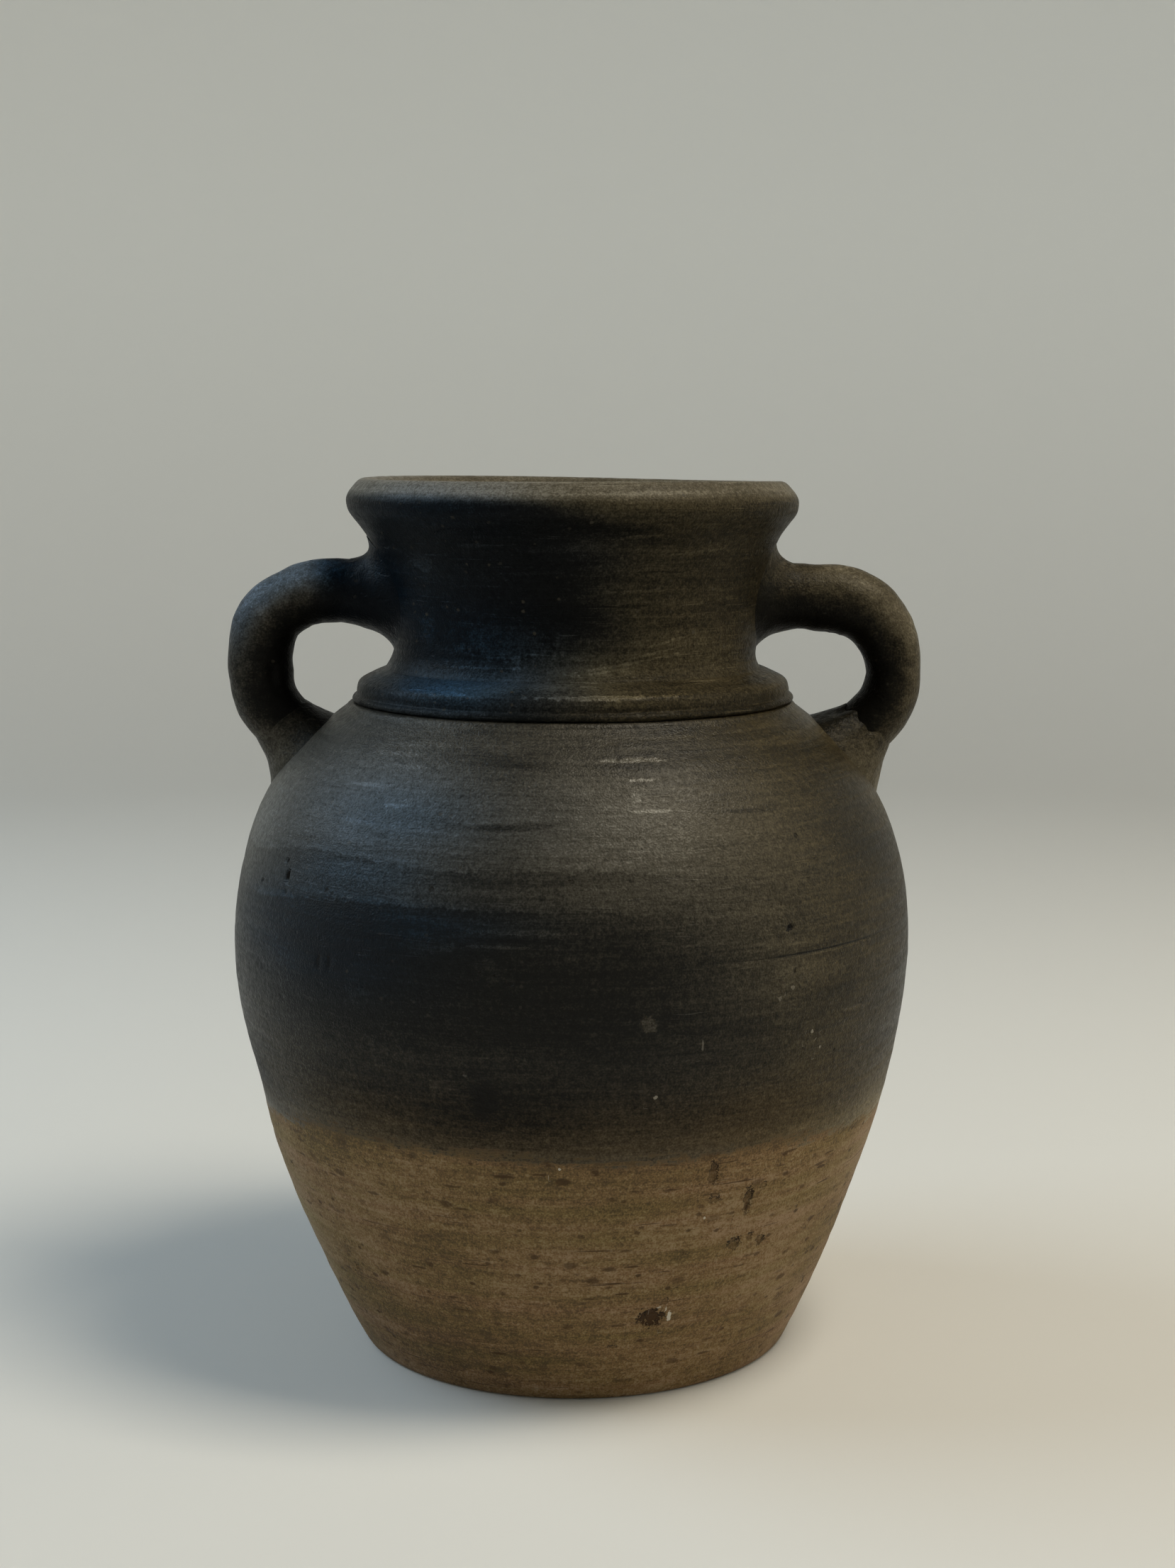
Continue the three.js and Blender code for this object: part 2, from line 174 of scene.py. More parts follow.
# Soft smudges on the body, among them painted sheen, painted highlight and painted shade where marked: turn,
# height, half width in degrees, half height, change of smoke
SMUDGES = (
    (-36, 128, 20, 14, 0.14),
    (0, 120, 24, 20, 0.10),
    (-10, 90, 14, 8, 0.14),
    (48, 122, 26, 24, -0.17),
    (30, 128, 12, 12, -0.13),
    (10, 150, 12, 12, -0.10),
    (-72, 86, 12, 8, 0.15),
    # Painted sheen along the foot's left edge
    (-74, 40, 14, 34, -0.75),
    (70, 85, 12, 6, -0.12),
    (52, 60, 22, 16, -0.32),
    (-6, 103, 14, 4, -0.07),
    (26, 146, 18, 14, -0.06),
    (62, 162, 24, 24, 0.31),
    # Painted sheen along the shoulder's left edge
    (-74, 154, 12, 24, -0.31),
    (20, 180, 20, 8, 0.15),
    (0, 143, 40, 7, -0.08),
    (30, 120, 9, 6, -0.12),
    (-74, 82, 12, 10, 0.34),
    (40, 96, 24, 14, -0.12),
    (-66, 104, 14, 26, -0.12),
    (-22, 96, 3, 3.5, -0.05),
    # Painted highlight where the key light's highlight falls on the shoulder
    (13, 164, 15, 9, -0.16),
    (-14, 180, 14, 12, 0.10),
    (-32, 72.5, 9, 3.2, -0.22),
    (-8, 70, 10, 2, -0.10),
    (30, 73, 16, 3, -0.12),
    (-30, 14, 30, 15, 0.52),
    (4, 66, 16, 4, 0.06),
    (-10, 152, 9, 14, 0.08),
    (-50, 90, 10, 10, -0.10),
    (-32, 82, 8, 5, -0.12),
    (44, 31, 15, 8, -0.40),
    # Painted sheen along the foot's right edge
    (72, 62, 12, 14, -0.45),
    # Painted shade beside the left handle's shoulder wad
    (-70, 176, 7, 6, 0.14),
    (9, 55, 9, 6, -0.28),
    (-8, 30, 24, 5, 0.32),
    (-30, 47, 9, 7, 0.30),
    (140, 112, 30, 24, 0.08),
    (-130, 130, 26, 20, 0.10),
    (90, 72, 18, 4, -0.14),
)

# Patches and strokes with ragged edges, among them painted highlight glints: turn, height, width, height,
# climb over half the width, change of smoke
SOOT_AND_GLINTS = (
    # Painted highlight glint in the key light's highlight, lighter and glossier
    (13.5, 178.3, 27, 1.3, -0.2, -0.34),
    (13, 176.9, 30, 1.9, -0.2, 0.16),
    # Painted highlight glints, lighter and glossier
    (13.5, 173.8, 11, 1.3, 0, -0.36),
    (11.8, 169.4, 3, 3, 0, -0.16),
    # Painted highlight glint
    (14, 166.4, 18, 1.0, -0.1, -0.30),
    (33, 164.9, 26, 1.1, -0.6, 0.14),
    (-9.5, 162.9, 31, 2.2, 0.8, 0.18),
    (6.5, 157.6, 11, 1.1, 0, 0.16),
    (-14, 177.2, 40, 2.6, 0, 0.10),
    (-36, 181, 30, 1.5, 0.3, -0.14),
    (-38, 178.4, 26, 1.2, 0.3, -0.16),
    (-35, 175.6, 22, 1.1, 0.3, -0.12),
    (-33, 166.2, 14, 1.2, 0.2, -0.16),
    (-40, 170.6, 24, 1.2, 0.4, -0.10),
    (24, 183, 30, 1.4, 0, -0.12),
    (-40, 133, 46, 20, 0, 0.08),
    (-42.5, 121.5, 28, 18, 0, 0.09),
    (-24.3, 133, 9, 8, 0, -0.10),
    (-9.3, 137.2, 36, 1.1, 0, -0.18),
    (-10, 135.3, 30, 1.3, 0, 0.12),
    (-11, 133.6, 20, 0.9, 0, -0.22),
    (-19.3, 133, 6, 3, 0, -0.14),
    (-12.3, 127, 8, 9, 0, -0.11),
    (-35.6, 119, 9, 7, 0, -0.10),
    (-20, 104, 50, 2.2, 0.4, -0.10),
    (-6, 100.4, 40, 1.6, 0.3, -0.08),
    (11.6, 113.3, 5.5, 5, 0, -0.34),
    (-13.5, 93, 9, 11, 0, 0.26),
    (-21, 96, 7, 5, 0, -0.08),
    (40, 122.5, 30, 8, -0.4, -0.10),
    (36, 113, 14, 9, 0, -0.08),
    (47, 116, 20, 11, 0, 0.07),
    (43, 128.1, 54, 0.7, 0, 0.40),
    (43, 127.3, 50, 0.6, 0, -0.16),
    (36, 131, 30, 1.2, -0.8, -0.10),
    (50, 110, 24, 1.6, -0.8, -0.12),
    (-64, 96, 24, 6, 0, 0.06),
    (130, 160, 40, 1.8, 0.5, 0.16),
    (-140, 168, 44, 2, -0.5, 0.16),
    (170, 136, 36, 1.4, 0.3, -0.2),
    (110, 128, 40, 22, 0, 0.10),
    (-160, 116, 44, 18, 0, 0.10),
)

# Blue-black of the densest smoke, partly its own colour and partly painted cool light from the left: turn,
# height, half width in degrees, half height, strength
BLUE_PATCHES = (
    (-45, 130, 20, 12, 1.4),
    (-22, 138, 14, 5, 0.7),
    (-36, 149, 16, 5, 0.4),
    (-30, 164, 18, 10, 0.40),
    # Painted cool light on the left of the shoulder
    (-42, 160, 30, 24, 0.25),
    (-150, 125, 26, 18, 0.6),
)

# Where dark smoke on the left of the neck gives way to thin smoke on the right: heights and turns
NECK_DIVIDE = ((187, 196, 203, 209, 214, 222, 230, 238, 244, 250), (4, -2, -3, 4, 10, 3, 8, 14, -8, -12))

# Smudges on the neck and the cordon, among them painted highlights where marked: turn, height, half width in
# degrees, half height, change of smoke
NECK_SMUDGES = (
    (62, 226, 24, 16, 0.12),
    (72, 234, 12, 8, 0.12),
    (-8, 200, 24, 4, -0.32),
    (-10, 196, 16, 4, -0.16),
    (46, 190, 30, 5, 0.06),
    (40, 188.6, 40, 2.4, 0.14),
    (-50, 226, 14, 6, -0.12),
    (-56, 212, 10, 6, -0.12),
    (40, 203, 24, 6, -0.10),
    (30, 238, 26, 3, 0.04),
    (20, 244, 40, 2.5, -0.08),
    # Painted highlight on the cordon's left
    (-34, 195, 30, 3.5, -0.54),
    (-40, 189.2, 34, 2.2, -0.24),
    (38, 206, 22, 9, -0.06),
    # Painted highlight along the cordon's left end
    (-78, 196, 14, 6, -0.60),
    (14, 193, 16, 2, -0.08),
    (70, 204, 10, 5, 0.16),
    (4, 231, 12, 8, -0.12),
    (-50, 196, 12, 6, -0.14),
    (-74, 207, 14, 6, 0.30),
    (160, 212, 40, 14, 0.15),
)

# Patches and strokes with ragged edges, among them painted highlight glints on the cordon: turn, height,
# width, height, climb over half the width, change of smoke
NECK_SOOT_AND_GLINTS = (
    (16, 201.5, 34, 1.1, 2.6, -0.20),
    (22, 203.8, 30, 0.9, 2.8, -0.18),
    (10, 199.6, 24, 0.9, 1.6, -0.18),
    (30, 207.5, 20, 1.0, 2.0, -0.14),
    (-30, 200, 26, 1.0, 0.2, -0.2),
    (-20, 203, 18, 0.8, 0.3, -0.16),
    (20, 221, 26, 1.1, 0.4, -0.16),
    (34, 231, 22, 1.1, 0.8, -0.14),
    (24, 226, 18, 0.9, -0.2, 0.16),
    (30, 214, 26, 1.0, 0.3, -0.12),
    (14, 217, 18, 0.9, 0.2, 0.14),
    (-10, 226, 22, 1.1, 0.2, -0.16),
    (-26, 233, 18, 1.1, 0.2, -0.14),
    (-30, 222, 16, 0.9, 0.2, -0.14),
    (-22, 208, 38, 14, 0, -0.17),
    (-12, 213, 30, 8, 0, 0.10),
    (-6, 222, 22, 16, 0, 0.08),
    (-52, 210, 8, 9, 0, -0.18),
    (-48, 228, 12, 6, 0, -0.14),
    (17, 235.4, 12, 1.2, 0.4, -0.16),
    # Painted highlight glints along the cordon's crown, lighter and glossier
    (10, 193.0, 44, 1.5, 0, -0.34),
    (-38, 193.2, 30, 1.6, 0, -0.16),
    (20, 247, 60, 1.3, 0.2, -0.10),
)

# Blue-black on the neck, partly the densest smoke's own colour and partly painted cool light from the left:
# turn, height, half width in degrees, half height, strength
NECK_BLUES = (
    (-34, 207, 30, 13, 0.9),
    (-40, 244, 24, 7, 0.8),
    (-76, 218, 26, 16, 0.9),
    # Painted cool highlight on the cordon's left
    (-36, 192, 26, 6, 0.65),
    (-34, 230, 40, 12, 0.4),
)

# Smoke on the handles: turn, height, half width in degrees, half height, change of smoke
HANDLE_SMUDGES = (
    (-90, 218, 60, 8, -0.12),
    (90, 212, 60, 10, 0.04),
    (90, 184, 40, 10, 0.22),
    (-90, 186, 60, 16, 0.32),
)

# Dents pressed into the handles: side, share of the loop, degrees round the strap, length, width,
# depth
HANDLE_DENTS = (
    (-1, 0.40, 140, 5, 3.5, 0.9),
    (-1, 0.44, 118, 3, 7, 0.7),
    (-1, 0.66, 60, 8, 3, 0.8),
    (-1, 0.25, 150, 9, 5, 0.6),
    (-1, 0.58, -70, 7, 5, 0.5),
    (1, 0.58, 120, 3, 2.2, 0.6),
    (1, 0.42, 100, 3, 2, 0.5),
    (1, 0.30, 130, 9, 5, 0.35),
    (1, 0.70, 150, 8, 6, 0.4),
    (1, 0.52, -80, 8, 5, 0.5),
)

# The wads that lute the handles: outside and inside of the loop their reach along the handle, growth
# along the wall and fullness, then their growth to front and back, and the size of their end. An
# end of the feather's size runs out just inside the handle.
WAD_FEATHER = 0.985
WADS = {
    ("left", "neck"): ((10, 7.5, 0.15), (15, 8, 0.3), 11, WAD_FEATHER),
    ("right", "neck"): ((12, 7.5, 0.42), (13, 6, 0.3), 8, WAD_FEATHER),
    ("left", "shoulder"): ((10, 7, 0.5), (9, 3.5, 0.8), 6, WAD_FEATHER),
    ("right", "shoulder"): ((10, 8, 0.9), (10, 5, 0.95), 7, 1.05),
}

# Turns between which the seam's groove comes in, and turns between which it dies out
SEAM_SHOWS = (15, 25, 63, 73)

# How far the seam's key dips, how much the lip's roll is flattened, and the radius at which the floor
# and the underside are closed
SEAM_KEY = 2.5
LIP_SLACK = 0.6
MIDDLE_HOLE = 1.5

# Points round the turned pieces, points along and round the handles and the wads, and the degrees
# from which an edge of a mesh is sharp
BODY_TURNS = 600
NECK_TURNS = 480
CORDON_TURNS = 540
HANDLE_STEPS = 190
HANDLE_SIDES = 96
WAD_STEPS = 30
WAD_SIDES = 128
SHARP_EDGE = 50

# Radii at which the widths of marks are measured
BODY_SPAN = 97.9
NECK_SPAN = 55.0

# How far a smoke layer's darkness and its edge are felt, and how far the bare foot's edge is
EDGE_FADE = 11
EDGE_REACH = 9
BARE_FADE = 12.0

# The stage: radius, bend and top of its cove, and the lamps' size, tint, direction, the height that
# they look at, and their distance from it in metres
COVE_RADIUS = 1600
COVE_BEND = 450
COVE_TOP = 1700
LAMPS = {
    "key": (0.45, (1.0, 0.92, 0.76), (0.39, -0.18, 0.90), 0.15),
    "fill": (0.9, (0.68, 0.86, 1.0), (-0.77, 0.12, 0.62), 0.15),
    "bounce": (0.9, (1.0, 0.90, 0.68), (0.88, -0.12, 0.42), 0.10),
}
LAMP_DISTANCE = 1.3


def length(name, description, millimetres):
    return FloatProperty(
        name=name, description=description, default=millimetres * MM, unit="LENGTH", precision=4
    )


def angle(name, description, degrees):
    return FloatProperty(
        name=name, description=description, default=math.radians(degrees), subtype="ANGLE", unit="ROTATION"
    )


def amount(name, description, value):
    return FloatProperty(
        name=name, description=description, default=value, subtype="FACTOR", min=0, max=1
    )


def power(name, description, watts):
    return FloatProperty(name=name, description=description, default=watts, unit="POWER")


def colour(name, description, value):
    return FloatVectorProperty(
        name=name, description=description, default=value, size=3, min=0, max=1, subtype="COLOR"
    )


def cast(name, description, value):
    """A tint that a colour is multiplied by."""
    return FloatVectorProperty(name=name, description=description, default=value, size=3, min=0, max=4)


class JarSizes(bpy.types.PropertyGroup):
    """Sizes of the clay pieces; the heights of seam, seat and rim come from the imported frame"""

    foot_radius: length("Foot radius", "Where the wall's line meets the ground", 62.6)
    foot_flare: angle("Foot flare", "Lean of the wall at the foot", 27)
    foot_edge: length("Foot edge", "Worn edge between the wall and the underside", 2.5)
    belly_radius: length("Belly radius", "Widest part of the body", 97.9)
    belly_height: length("Belly height", "Height of the widest part", 117.7)
    seam_height: length("Seam height", "Seam of the two thrown halves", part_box("lower_body")[1][2] / MM)
    seat_height: length("Seat height", "Top of the shoulder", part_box("shoulder")[1][2] / MM)
    seat_radius: length("Seat radius", "Edge of the shoulder under the cordon", 63.4)
    seat_rise: angle("Seat rise", "Slope at which the shoulder comes up to the seat", 69)
    body_wall: length("Body wall", "Thickness of the body", 7.5)
    floor: length("Floor", "Thickness of the floor", 9)
    waist_radius: length("Waist radius", "Narrowest part of the neck", 52.1)
    waist_rise: length("Waist rise", "From the seat up to the waist", 15)
    neck_wall: length("Neck wall", "Thickness of the neck", 7.2)
    rim_height: length("Rim height", "Top of the lip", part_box("neck")[1][2] / MM)
    rim_radius: length("Rim radius", "Outside of the lip", 64.6)
    lip_thickness: length("Lip thickness", "Rolled lip across", 10.4)
    lip_height: length("Lip height", "Rolled lip from below to above", 12.6)
    lip_flare: angle("Lip flare", "Lean of the neck under the lip", 34.5)
    cordon_radius: length("Cordon radius", "Outside of the ring at the neck's foot", 63.2)
    cordon_height: length("Cordon height", "From the seat to the top of the ring", 9.5)
    handle_thickness: length("Handle thickness", "Handle in the plane of its loop", 18.3)
    handle_width: length("Handle width", "Handle across its loop", 19.5)


class JarSurface(bpy.types.PropertyGroup):
    """Marks that the hands, the wheel and the years left in the clay"""

    ridge: length("Throwing ridges", "Height of the fine spiral ridges", 0.06)
    lump: length("Unevenness", "Broad unevenness of the walls", 0.35)
    lean: length("Foot lean", "How far the foot stands off the axis", 0.9)
    rim_tilt: length("Rim tilt", "How far the lip dips on the right", 0.6)
    rim_twist: length("Rim twist", "How far the lip waves up and down", 0.35)
    neck_shift: length("Neck shift", "How far neck and cordon sit off the axis", 0.4)
    waist_shift: length("Waist shift", "How far the neck's waist strays further", 1.2)
    handle_lump: length("Handle unevenness", "Dents and swells of the pulled handles", 0.35)
    seam_groove: length("Seam groove", "Hairline groove along the seam", 0.16)


class JarFinish(bpy.types.PropertyGroup):
    """Colours of the fired clay"""

    bare_dark: colour("Bare clay, dark", "Streaks in the bare foot", (0.080, 0.053, 0.025))
    bare_speck: colour("Bare specks", "Dark specks and cracks in the bare foot", (0.055, 0.030, 0.012))
    bare: colour("Bare clay", "Bare foot", (0.170, 0.109, 0.045))
    # Also the colour of the painted sheen along the foot's left and right edges
    bare_pale_and_sheen: colour("Bare clay, pale", "Rubbed and bleached clay", (0.250, 0.186, 0.100))
    rosy_cast: cast("Rosy cast", "Warmer bands of the bare foot", (1.05, 0.97, 1.08))
    olive_cast: cast("Olive cast", "Greener bands of the bare foot", (0.97, 1.01, 0.93))
    # Also the colour that the painted highlight glints and the painted sheen on the smoked clay reach
    worn_smoke_and_glint: colour("Worn smoke", "Smoke rubbed thin", (0.165, 0.154, 0.130))
    thin_smoke: colour("Thin smoke", "Edge of the smoke", (0.078, 0.070, 0.055))
    smoke_grey: colour("Grey smoke", "Smoke on the shoulder", (0.046, 0.0405, 0.030))
    smoke_brown: colour("Brown smoke", "Smoke of middling strength", (0.0215, 0.0188, 0.0138))
    smoke_black: colour("Black smoke", "Dense smoke", (0.0065, 0.0062, 0.0048))
    soot: colour("Soot", "Densest smoke", (0.0030, 0.0028, 0.0023))
    # Multiplied in where the smoke is blue-black, and where cool light from the left is painted into the
    # colour
    blue_smoke_and_cool_light_tint: cast("Blue tint", "Cast of the densest smoke", (0.36, 1.0, 2.3))
    scorch_tint: cast("Scorch tint", "Cast of the smoke's lower edge", (1.08, 0.90, 0.66))
    # Partly the brown of the thinner smoke on the right and partly painted warmer light from the right
    brown_smoke_and_warm_light_tint: cast("Brown tint", "Cast of the smoke on the right", (1.08, 0.95, 0.62))
    flake: colour("Fresh flake", "Pale flakes beside the chips", (0.50, 0.46, 0.38))
    chip: colour("Chipped clay", "Core that shows in the chips", (0.045, 0.023, 0.009))
    chip_edge: colour("Chip edge", "Shadowed edge of a chip", (0.010, 0.006, 0.003))
    inside: colour("Inside", "Raw clay inside the jar", (0.04, 0.032, 0.025))
    bare_roughness: amount("Bare roughness", "Roughness of the bare foot", 0.62)
    smoke_roughness: amount("Smoked roughness", "Roughness of the burnished smoke", 0.42)


class JarStage(bpy.types.PropertyGroup):
    """Floor, light and camera"""

    floor: colour("Floor", "Pale floor", (0.66, 0.655, 0.64))
    backdrop: colour("Backdrop", "Pale backdrop", (0.75, 0.755, 0.74))
    key_power: power("Key power", "Warm light from the right", 12.0)
    fill_power: power("Fill power", "Cool light from the left", 8.4)
    bounce_power: power("Bounce power", "Weak light from the right", 3.6)
    room: amount("Room light", "Even light from all round", 0.04)
    lens: FloatProperty(name="Lens", description="Focal length", default=54.08, unit="CAMERA")
    distance: length("Camera distance", "From the jar's axis to the camera", 679.5)
    height: length("Camera height", "From the floor up to the camera", 257.5)
    pitch: angle("Camera pitch", "How far the camera looks down", 8.0034)
    yaw: angle("Camera yaw", "How far the camera looks to the right", 0.395)


# Curves and noise

def curve(*points, count=240):
    """Points along a Bezier curve with these control points."""
    share = np.linspace(0, 1, count)[:, None]
    last = len(points) - 1
    return sum(
        math.comb(last, k) * (1 - share) ** (last - k) * share**k * np.array(point)
        for k, point in enumerate(points)
    )


def joined(*lines):
    """Lines laid end to end, each without the point it shares with the one before."""
    return np.concatenate([lines[0]] + [line[1:] for line in lines[1:]])


def runs(line):
    """Distance along a line at each of its points."""
    return np.concatenate([[0], np.cumsum(np.linalg.norm(np.diff(line, axis=0), axis=1))])


def along(line, distance):
    """Points at these distances along a line."""
    run = runs(line)
    return np.stack([np.interp(distance, run, axis) for axis in line.T], axis=-1)


def evened(line, count):
    """Evenly spaced points along a line."""
    return along(line, np.linspace(0, runs(line)[-1], count))


def between(line, low, high, count):
    """Evenly spaced points of a rising line between two heights."""
    run = runs(line)
    start, stop = np.interp((low, high), line[:, 1], run)
    return along(line, np.linspace(start, stop, count))


def unit(vectors):
    """Vectors brought to a length of 1."""
    return vectors / np.linalg.norm(vectors, axis=-1, keepdims=True)


def headings(line):
    """Unit direction of a line at each of its points."""
    return unit(np.gradient(line, axis=0))


def outward(way):
    """Right-hand normal of directions in (radius, height), which points away from the clay."""
    return np.stack([way[..., 1], -way[..., 0]], axis=-1)


def upright(points):
    """Points or directions in (radius, height) set in the upright plane of the handles."""
    return np.insert(points, 1, 0, axis=-1)


def swept(radius, swing, high):
    """Points round the jar's axis, turned by radians from its right."""
    return np.stack([radius * np.cos(swing), radius * np.sin(swing), high + 0 * swing], axis=-1)


def soft_step(value, low, high):
    """0 below a range and 1 above it, with a soft rise between."""
    share = np.clip((value - low) / (high - low), 0, 1)
    return share * share * (3 - 2 * share)


def plateau(value, low, full, fading, high):
    """1 from full to fading, and softly down to 0 at low and high."""
    return soft_step(value, low, full) * (1 - soft_step(value, fading, high))


def uneven(place, size, seed):
    """Smooth random values from -1 to 1 that change over about `size` in each direction."""
    cell = place / np.asarray(size, dtype=float)
    corner = np.floor(cell).astype(np.int64)
    share = cell - corner
    share = share * share * (3 - 2 * share)
    total = np.zeros(place.shape[:-1])
    for step in itertools.product((0, 1), repeat=3):
        mark = (corner + step) @ np.array((73856093, 19349663, 83492791)) + seed * 2654435761
        mark = (mark ^ (mark >> 13)) * 1274126177
        mark = (mark ^ (mark >> 16)) & 0xFFFF
        total += np.prod(np.where(step, share, 1 - share), axis=-1) * (mark / 32767.5 - 1)
    return total


def away(turn, middle):
    """Degrees from a turn, the short way round."""
    return (turn - middle + 180) % 360 - 180


def oval(turn, high, middle, level, wide, tall):
    """A soft oval patch, 1 in its middle."""
    return np.exp(-((away(turn, middle) / wide) ** 2) - ((high - level) / tall) ** 2)


def patches(marks, turn, high, place):
    """Sum of soft oval patches with wandering outlines."""
    turn = turn + 3.0 * uneven(place, 17, 21)
    high = high + 1.2 * uneven(place, 13, 22) + 0.25 * uneven(place, 3, 23)
    return sum(strength * oval(turn, high, *shape) for *shape, strength in marks)


# How far a ragged mark is felt, in half widths and half heights, and the widest step of the walls' meshes
REACH = 1.7
MESH_STEP = 2.4


def stand_clear(mark, other, radius):
    """Whether no mesh face on a wall of this radius touches both marks."""
    across = abs(math.radians(away(mark[0], other[0]))) * radius - REACH * (mark[2] + other[2]) / 2
    climbs = sum(abs(one[4]) * REACH if len(one) > 5 else 0 for one in (mark, other))
    up = abs(mark[1] - other[1]) - REACH * (mark[3] + other[3]) / 2 - climbs
    return max(across, up) >= 3 * MESH_STEP


def dealt(marks, radius):
    """Marks dealt into sets whose members stand clear of one another."""
    sets = []
    for mark in marks:
        free = [group for group in sets if all(stand_clear(mark, other, radius) for other in group)]
        if free:
            free[0].append(mark)
        else:
            sets.append([mark])
    return sets


SOOT_AND_GLINT_SETS = dealt(SOOT_AND_GLINTS, BODY_SPAN)
HOLLOW_SETS = dealt(PITS + CHIPS, BODY_SPAN)
NECK_SOOT_AND_GLINT_SETS = dealt(NECK_SOOT_AND_GLINTS, NECK_SPAN)


def spots(marks, turn, high, radius):
    """Place of each point in the nearest mark, in half widths and half heights, and its strength."""
    nearest = np.full(turn.shape, np.inf)
    place = np.zeros((*turn.shape, 3)) + (9, 9, 0)
    for middle, level, wide, tall, *climb, strength in marks:
        across = np.radians(away(turn, middle)) * radius / (wide / 2)
        up = (high - level - sum(climb) * across) / (tall / 2)
        apart = np.hypot(across, up)
        nearer = (apart < nearest) & (np.abs(across) < REACH + 2 * MESH_STEP / wide)
        nearer &= np.abs(up) < REACH + 2 * MESH_STEP / tall
        nearest[nearer] = apart[nearer]
        place[nearer] = np.stack([across, up, np.full(turn.shape, strength)], axis=-1)[nearer]
    return place


def numbered(name, sets, turn, high, radius):
    """One vector mark for each set of marks."""
    return {f"{name}_{k}": spots(group, turn, high, radius) for k, group in enumerate(sets)}


def hollows(marks, turn, high, place, radius):
    """Depth of ragged pits."""
    depth = np.zeros(turn.shape)
    ragged = 0.30 * uneven(place, 1.7, 31) + 0.18 * uneven(place, 0.9, 32)
    for middle, level, wide, tall, deep in marks:
        across = np.radians(away(turn, middle)) * radius
        apart = np.hypot(across / (wide / 2), (high - level) / (tall / 2)) + ragged
        depth = np.maximum(depth, deep * (1 - soft_step(apart, 0.7, 1.15)))
    return depth


# Outlines, in millimetres

def in_mm(value):
    return value / MM


# Shares of a rise over which the end of an outline keeps its direction
FOOT_FULLNESS = 0.501
BELLY_FULLNESS = 0.839
SHOULDER_FULLNESS = 0.758
WAIST_FULLNESS = 0.637
LIP_FULLNESS = 0.265
LOOP_FULLNESS = 0.58

# Lengths over which the shoulder keeps its direction at the seat, and a handle where it lands
SEAT_PULL = 4.6
LANDING_PULL = 9
LANDING_ANGLE = 62

# How far the neck's collar stands out from the waist, the width of a handle's upper bend, and how
# far a handle runs into the walls
COLLAR_FLARE = 1.9
UPPER_BEND = 19
BURIED = 3.5


def body_line(sizes):
    """Outside of the body from the ground to the seat."""
    foot = np.array((in_mm(sizes.foot_radius), 0))
    flare = np.array((math.sin(sizes.foot_flare), math.cos(sizes.foot_flare)))
    belly, rise = in_mm(sizes.belly_radius), in_mm(sizes.belly_height)
    seat = np.array((in_mm(sizes.seat_radius), in_mm(sizes.seat_height)))
    climb = np.array((-math.cos(sizes.seat_rise), math.sin(sizes.seat_rise)))
    above = (belly, rise + SHOULDER_FULLNESS * (seat[1] - rise))
    lower = curve(foot, foot + flare * FOOT_FULLNESS * rise, (belly, rise * BELLY_FULLNESS), (belly, rise))
    upper = curve((belly, rise), above, seat - climb * SEAT_PULL, seat)
    return joined(lower, upper)


def lip_ring(sizes):
    """Middle and half sizes of the rolled lip, and where its roll leaves the neck."""
    half = np.array((in_mm(sizes.lip_thickness) / 2, in_mm(sizes.lip_height) / 2))
    middle = np.array((in_mm(sizes.rim_radius), in_mm(sizes.rim_height))) - half
    start = -math.atan(math.tan(sizes.lip_flare) * half[1] / half[0])
    return middle, half, start


def neck_line(sizes):
    """Outside of the neck from the top of the cordon to the underside of the lip."""
    middle, half, start = lip_ring(sizes)
    under = middle + half * (math.cos(start), math.sin(start))
    waist = np.array((in_mm(sizes.waist_radius), in_mm(sizes.seat_height + sizes.waist_rise)))
    top = in_mm(sizes.seat_height + sizes.cordon_height)
    lean = np.array((math.sin(sizes.lip_flare), math.cos(sizes.lip_flare)))
    rise = under[1] - waist[1]
    collar = curve((waist[0] + COLLAR_FLARE, top), (waist[0], (top + waist[1]) / 2), waist, count=60)
    flare = curve(waist, waist + (0, WAIST_FULLNESS * rise), under - lean * LIP_FULLNESS * rise, under)
    return joined(collar, flare)


def handle_line(sizes, hold):
    """Middle line of a handle in (radius, height), with both ends buried in the walls."""
    body, neck = body_line(sizes), neck_line(sizes)
    top = in_mm(sizes.rim_height) - hold["drop"]
    wall = np.interp(top, neck[:, 1], neck[:, 0])
    root = along(body, runs(body)[-1] - hold["landing"])
    steep = math.radians(LANDING_ANGLE)
    way = np.array((-math.cos(steep), -math.sin(steep)))
    far = in_mm(sizes.cordon_radius) + hold["finger_gap"] + in_mm(sizes.handle_thickness) / 2
    apex = np.array((far, (top + root[1]) / 2))
    bend = np.array((far - UPPER_BEND, top))
    above, below = LOOP_FULLNESS * (top - apex[1]), LOOP_FULLNESS * (apex[1] - root[1])
    return joined(
        np.array(((wall - BURIED, top), bend)),
        curve(bend, bend + (LOOP_FULLNESS * UPPER_BEND, 0), apex + (0, above), apex),
        curve(apex, apex - (0, below), root - way * LANDING_PULL, root),
        np.array((root, root + way * BURIED)),
    )


# Meshes

